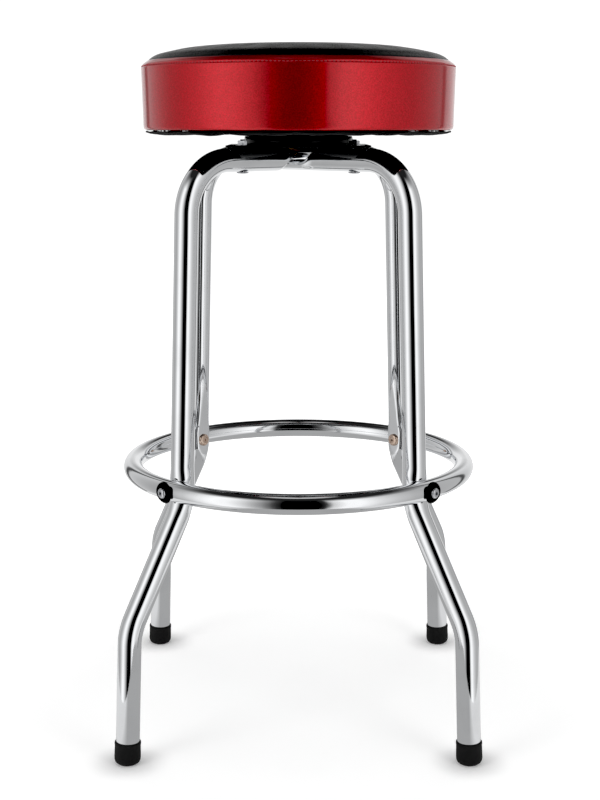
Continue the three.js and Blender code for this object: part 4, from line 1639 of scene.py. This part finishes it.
    def build_skin(self) -> None:
        """Fills the skin, parts it at the seam into cover and band, and gives it a wall."""
        shell = self.skin_shell()
        Bench.reshape(shell, self.uneven)
        self.inflate(shell)
        Bench.modify(shell, "SUBSURF", levels=1, render_levels=1)
        with Bench.editing(shell):
            bpy.ops.mesh.select_all(action="SELECT")
            bpy.ops.mesh.separate(type="MATERIAL")
        parts = [o for o in bpy.context.selected_objects if o.type == "MESH"]
        parts.sort(key=lambda o: max(v.co.z for v in o.data.vertices))
        dressed = (
            (parts[0], "seat_band_red", Slot.RED_VINYL, RED_VINYL, "seat_side_band"),
            (parts[1], "seat_cover_black", Slot.BLACK_VINYL, BLACK_VINYL, "seat_top_cover"),
        )
        for piece, name, slot, finish, node in dressed:
            piece.name = piece.data.name = name
            piece.vertex_groups.clear()
            Bench.modify(
                piece, "SOLIDIFY", thickness=self.skin, offset=-1, use_even_offset=False
            )
            Bench.smooth(piece, 50)
            Bench.fit(piece, Body.SEAT, slot, finish, [node])

    def build_foam(self) -> None:
        """The moulded foam pad between the board and the skin."""
        inset, floor = 0.0024, 0.6843
        side = self.side - inset
        outline = [
            (0, floor), (side - 0.004, floor), (side - 0.001, floor + 0.001),
            (side, floor + 0.004), (self.lip[0] - inset, self.lip[1] - 0.006),
            (self.lip[0] - inset - 0.0012, self.lip[1] - 0.001),
            (self.lip[0] - 0.0052, self.lip[1] + 0.002),
            *[(r - 0.0032, z - 0.0036) for r, z in self.dome()[2:]],
            (0.012, self.crown - 0.0042), (0, self.crown - 0.0042),
        ]
        piece = Bench.turn("seat_foam_pad", outline, 96)
        Bench.smooth(piece, 50)
        Bench.fit(piece, Body.SEAT, Slot.FOAM, FOAM, ["seat_foam"])

    def build_stitches(self) -> None:
        """The row of topstitching round the lip: one stitch, copied round the seat."""
        r, z = self.lip[0] - 0.0007, self.lip[1] + 0.0006
        count = round(2 * math.pi * r / self.stitch_pitch)
        piece = Bench.add(
            bpy.ops.mesh.primitive_cylinder_add, "seat_topstitching", vertices=6,
            radius=0.0006, depth=0.0013, location=(r, 0, z), rotation=(math.pi / 2, 0, 0),
        )
        Bench.settle(piece)
        with Bench.editing(piece):
            for end in (-1, 1):
                Bench.pick(piece, lambda p, e=end: e * p.y > 0.0006)
                for move, shrink in ((0.0004, 0.8), (0.0003, 0.35)):
                    drop = -0.00022 if shrink > 0.5 else -0.0004
                    bpy.ops.mesh.extrude_region_move(
                        TRANSFORM_OT_translate={"value": (drop, end * move, 0)}
                    )
                    bpy.ops.transform.resize(
                        value=(shrink, 1, shrink),
                        center_override=(r + drop, end * 0.0009, z),
                    )
            bpy.ops.mesh.select_all(action="SELECT")
            bpy.ops.mesh.spin(
                steps=count - 1, angle=2 * math.pi * (count - 1) / count, dupli=True,
                use_auto_merge=False, center=(0, 0, 0), axis=(0, 0, 1),
            )
        Bench.settle(piece)
        Bench.reshape(piece, self.uneven)
        Bench.smooth(piece, 80)
        Bench.fit(piece, Body.SEAT, Slot.RED_VINYL, THREAD)

    def build_dust_cover(self) -> None:
        """The thin black cloth under the seat, sagging in waves between its staples."""
        hole, board, plate, rim = 0.040, 0.6683, 0.104, 0.169
        spans = [hole + (rim - hole) * i / 26 for i in range(27)]
        piece = Bench.add(
            bpy.ops.mesh.primitive_circle_add, "dust_cloth_under_seat", vertices=192,
            radius=hole, location=(0, 0, board),
        )
        Bench.settle(piece)
        with Bench.editing(piece):
            bpy.ops.mesh.select_all(action="SELECT")
            for near, far in pairwise(spans):
                bpy.ops.mesh.extrude_edges_move(TRANSFORM_OT_translate={"value": (0, 0, 0)})
                bpy.ops.transform.resize(
                    value=(far / near, far / near, 1), center_override=(0, 0, board)
                )

        def sag(points: np.ndarray) -> np.ndarray:
            """Drops the free ring of cloth in a wavy trough outside the swivel plate."""
            moved = points.copy()
            for i, (x, y, z) in enumerate(points):
                r = math.hypot(x, y)
                around = Vector((x, y, 0)).normalized()
                t = min(max((r - plate) / (rim - plate), 0.0), 1.0)
                deep = 0.0040 + 0.0012 * noise.noise(around * 5.5 + Vector((3, 3, 0)))
                ripple = 0.0007 * noise.noise(around * 24 + Vector((0, 4, 7)))
                low = (deep + ripple) * math.sin(math.pi * t**1.6) ** 0.7
                slack = 0.0005 * (1 - math.cos(24 * math.atan2(y, x))) * min(1, 4 * t)
                moved[i, 2] = z - low - 0.0018 * t**2 - slack
            return moved

        Bench.reshape(piece, sag)
        Bench.modify(piece, "SOLIDIFY", thickness=0.0006, offset=1)
        Bench.settle(piece)
        Bench.smooth(piece, 60)
        Bench.fit(piece, Body.SEAT, Slot.CLOTH, DUST_CLOTH, ["seat_dust_cover"])

    def build_staples(self) -> None:
        """The staples that hold the dust cloth and the hem to the board."""
        r, z = 0.1605, 0.6650
        piece = Bench.add(
            bpy.ops.mesh.primitive_cube_add, "dust_cloth_staples", size=1, location=(r, 0, z)
        )
        piece.scale = (0.0012, 0.0096, 0.0006)
        Bench.settle(piece)
        with Bench.editing(piece):
            bpy.ops.mesh.select_all(action="SELECT")
            bpy.ops.mesh.bisect(plane_co=(0, 0.0042, 0), plane_no=(0, 1, 0))
            bpy.ops.mesh.select_all(action="SELECT")
            bpy.ops.mesh.bisect(plane_co=(0, -0.0042, 0), plane_no=(0, 1, 0))
            Bench.pick(
                piece, lambda p: abs(p.y) > 0.0043 and p.z > z + 0.0002, Pick.FACE
            )
            bpy.ops.mesh.extrude_region_move(TRANSFORM_OT_translate={"value": (0, 0, 0.0065)})
            bpy.ops.mesh.select_all(action="SELECT")
            bpy.ops.mesh.bevel(offset=0.00015, segments=1, affect="EDGES")
            bpy.ops.mesh.select_all(action="SELECT")
            bpy.ops.mesh.spin(
                steps=23, angle=2 * math.pi * 23 / 24, dupli=True, use_auto_merge=False,
                center=(0, 0, 0), axis=(0, 0, 1),
            )
        Bench.settle(piece)
        Bench.smooth(piece, 40)
        Bench.fit(piece, Body.SEAT, Slot.BLACK_STEEL, BLACK_PAINT)

    def build(self) -> None:
        """Models the seat from the skin inwards, then what is under it."""
        self.build_skin()
        self.build_foam()
        self.build_stitches()
        self.build_dust_cover()
        self.build_staples()


# ---- The studio ------------------------------------------------------------------------


@dataclass
class Studio:
    """A white floor, soft light, the surroundings that the chrome mirrors, and the camera."""

    camera_place: tuple[float, float, float] = (0.0017, -1.6255, 0.6739)
    camera_pitch: float = 79.12
    lens: float = 64.63
    floor_glow: tuple[float, float] = (0.5, 1.0)
    black: float = 0.013
    back_gap: tuple[float, float] = (2.65, 2.85)
    bands: Sequence[tuple[float, float]] = (
        (-180, 0.9), (-160, 0.8), (-151, 0.7), (-148, 0.1), (-143, 0.1), (-140, 0.65),
        (-120, 0.5), (-104, 0.42), (-90, 0.47), (-78, 0.65), (-66, 0.95), (-56, 1.15),
        (-46, 1.06), (-35, 0.74), (-25, 0.38), (-16, 0.07), (-10, 0.006), (13, 0.006),
        (18, 0.05), (22, 0.72), (31, 1.12), (40, 1.1), (55, 0.78), (66, 0.62),
        (78, 0.52), (90, 0.45), (126, 0.5), (129, 0.1), (133, 0.1), (136, 0.6),
        (155, 0.8), (180, 0.9),
    )

    def light(self, name: str, place: tuple, aim: tuple, size: tuple, power: float) -> None:
        """Hangs a rectangular soft light that is aimed at a point."""
        lamp = bpy.data.lights.new(name, "AREA")
        lamp.shape = "RECTANGLE"
        lamp.size, lamp.size_y = size
        lamp.energy = power
        holder = bpy.data.objects.new(name, lamp)
        bpy.context.scene.collection.objects.link(holder)
        holder.location = place
        holder.rotation_euler = (Vector(place) - Vector(aim)).to_track_quat("Z", "Y").to_euler()
        holder.visible_glossy = False

    def floor(self) -> None:
        """Lays the white floor, with a painted shadow round each foot, and its sheen, and a white
        dome that only the camera sees.
        """
        floor = Bench.add(bpy.ops.mesh.primitive_plane_add, "floor", size=12)
        near_glow, far_glow = self.floor_glow
        floor.data.materials.append(StageFloor(glow=near_glow, far_glow=far_glow).material())
        floor.visible_glossy = False
        dome = Bench.add(
            bpy.ops.mesh.primitive_uv_sphere_add, "backdrop", segments=48, ring_count=24,
            radius=7,
        )
        dome.data.materials.append(
            StageCard(name="studio_backdrop", shade=0.0, far_glow=1.1).material()
        )
        for ray in ("glossy", "diffuse", "shadow", "transmission"):
            setattr(dome, f"visible_{ray}", False)
        near = Bench.add(
            bpy.ops.mesh.primitive_circle_add, "floor_near", vertices=96, radius=0.5,
            fill_type="NGON", location=(0, 0, -0.001),
        )
        near.data.materials.append(FloorSheen().material())
        for ray in ("camera", "diffuse", "shadow", "transmission"):
            setattr(near, f"visible_{ray}", False)

    def sky(self) -> None:
        """Surrounds the stage with soft boxes and gaps, as bands of brightness by azimuth.

        A band names an azimuth in degrees, 0 in front of the stool and positive to its
        right, and how bright the surroundings are there. Overhead and underfoot they
        fade to one even grey, and high up behind the stool they are dark.
        """
        world = bpy.data.worlds.new("studio")
        world.use_nodes = True
        graph = Graph(world.node_tree)
        way = graph.node("TexCoord").outputs["Generated"]
        split = graph.node("SeparateXYZ", {0: way})
        front = graph.node("Math", {0: split.outputs["Y"], 1: -1.0}, operation="MULTIPLY")
        turn = graph.node(
            "Math", {0: split.outputs["X"], 1: front.outputs[0]}, operation="ARCTAN2"
        )
        across = graph.spread(turn.outputs[0], 0.0, 1.0, -math.pi, math.pi)
        ramp = graph.node("ValToRGB", {"Fac": across})
        stops = ramp.color_ramp.elements
        while len(stops) > 1:
            stops.remove(stops[-1])
        for i, (azimuth, level) in enumerate(self.bands):
            place = (azimuth + 180) / 360
            stop = stops[0] if i == 0 else stops.new(place)
            stop.position = place
            stop.color = (level, level, level, 1)
        shade = ramp.outputs["Color"]
        height = split.outputs["Z"]
        for start, end, level in ((0.62, 0.85, 0.03), (0.97, 0.99, 0.6), (-0.9, -0.96, 0.5)):
            even = graph.node("Mix", data_type="RGBA")
            graph.tree.links.new(
                graph.spread(height, 0.0, 1.0, start, end), even.inputs["Factor"]
            )
            graph.tree.links.new(shade, even.inputs["A"])
            even.inputs["B"].default_value = (level, level, level, 1)
            shade = even.outputs["Result"]
        round_back = graph.node("Math", {0: turn.outputs[0]}, operation="ABSOLUTE")
        behind = graph.node(
            "Math",
            {
                0: graph.spread(round_back.outputs[0], 0.0, 1.0, *self.back_gap),
                1: graph.spread(height, 0.0, 1.0, 0.18, 0.5),
            },
            operation="MULTIPLY",
        )
        gap = graph.node("Mix", data_type="RGBA")
        graph.tree.links.new(behind.outputs[0], gap.inputs["Factor"])
        graph.tree.links.new(shade, gap.inputs["A"])
        gap.inputs["B"].default_value = (0.015, 0.015, 0.015, 1)
        light = graph.node("Background", {"Color": gap.outputs["Result"]})
        graph.node("OutputWorld", {"Surface": light.outputs["Background"]})
        bpy.context.scene.world = world
        view = bpy.context.scene.view_settings
        view.view_transform = "Standard"
        view.use_curve_mapping = True
        view.curve_mapping.black_level = (self.black,) * 3
        view.curve_mapping.update()

    def camera(self) -> None:
        """Places the camera."""
        lens = bpy.data.cameras.new("camera")
        lens.lens = self.lens
        lens.sensor_width = 36
        holder = bpy.data.objects.new("camera", lens)
        bpy.context.scene.collection.objects.link(holder)
        holder.location = self.camera_place
        holder.rotation_euler = (math.radians(self.camera_pitch), 0, 0)
        bpy.context.scene.camera = holder

    def build(self) -> None:
        """Sets up the stage."""
        self.floor()
        self.sky()
        self.camera()
        self.light("key", (-1.6, -1.5, 1.1), (0, 0, 0.65), (0.9, 1.6), 9)
        self.light("fill", (1.4, -1.6, 1.0), (0, 0, 0.65), (0.8, 1.6), 7)
        self.light("top", (0, 0.2, 2.4), (0, 0, 0.6), (2.0, 2.0), 14)


def dress_bearing() -> None:
    """Dresses the CAD parts that keep their shape: balls, cage and board."""
    rows = [("bearing_cage", ZINC), ("seat_board", PLYWOOD)]
    rows += [(f"bearing_ball_{i}", BALL_STEEL) for i in range(1, 13)]
    for name, finish in rows:
        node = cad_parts[name]
        node.data.materials.clear()
        node.data.materials.append(finish.material())
        LOG.info("%s: CAD part, finish %s", name, finish.name)


def main() -> None:
    """Builds the stool in order, then its stage."""
    logging.basicConfig(level=logging.INFO, format="%(name)s: %(message)s")
    Bench.clear()
    TubeFrame("upper", 45.0, 1).build()
    TubeFrame("lower", -45.0, -1).build()
    FootRing().build()
    FootCap().build()
    RingFastening().build()
    Swivel().build()
    Seat().build()
    dress_bearing()
    Studio().build()
    Bench.clear()


if __name__ == "__main__":
    main()
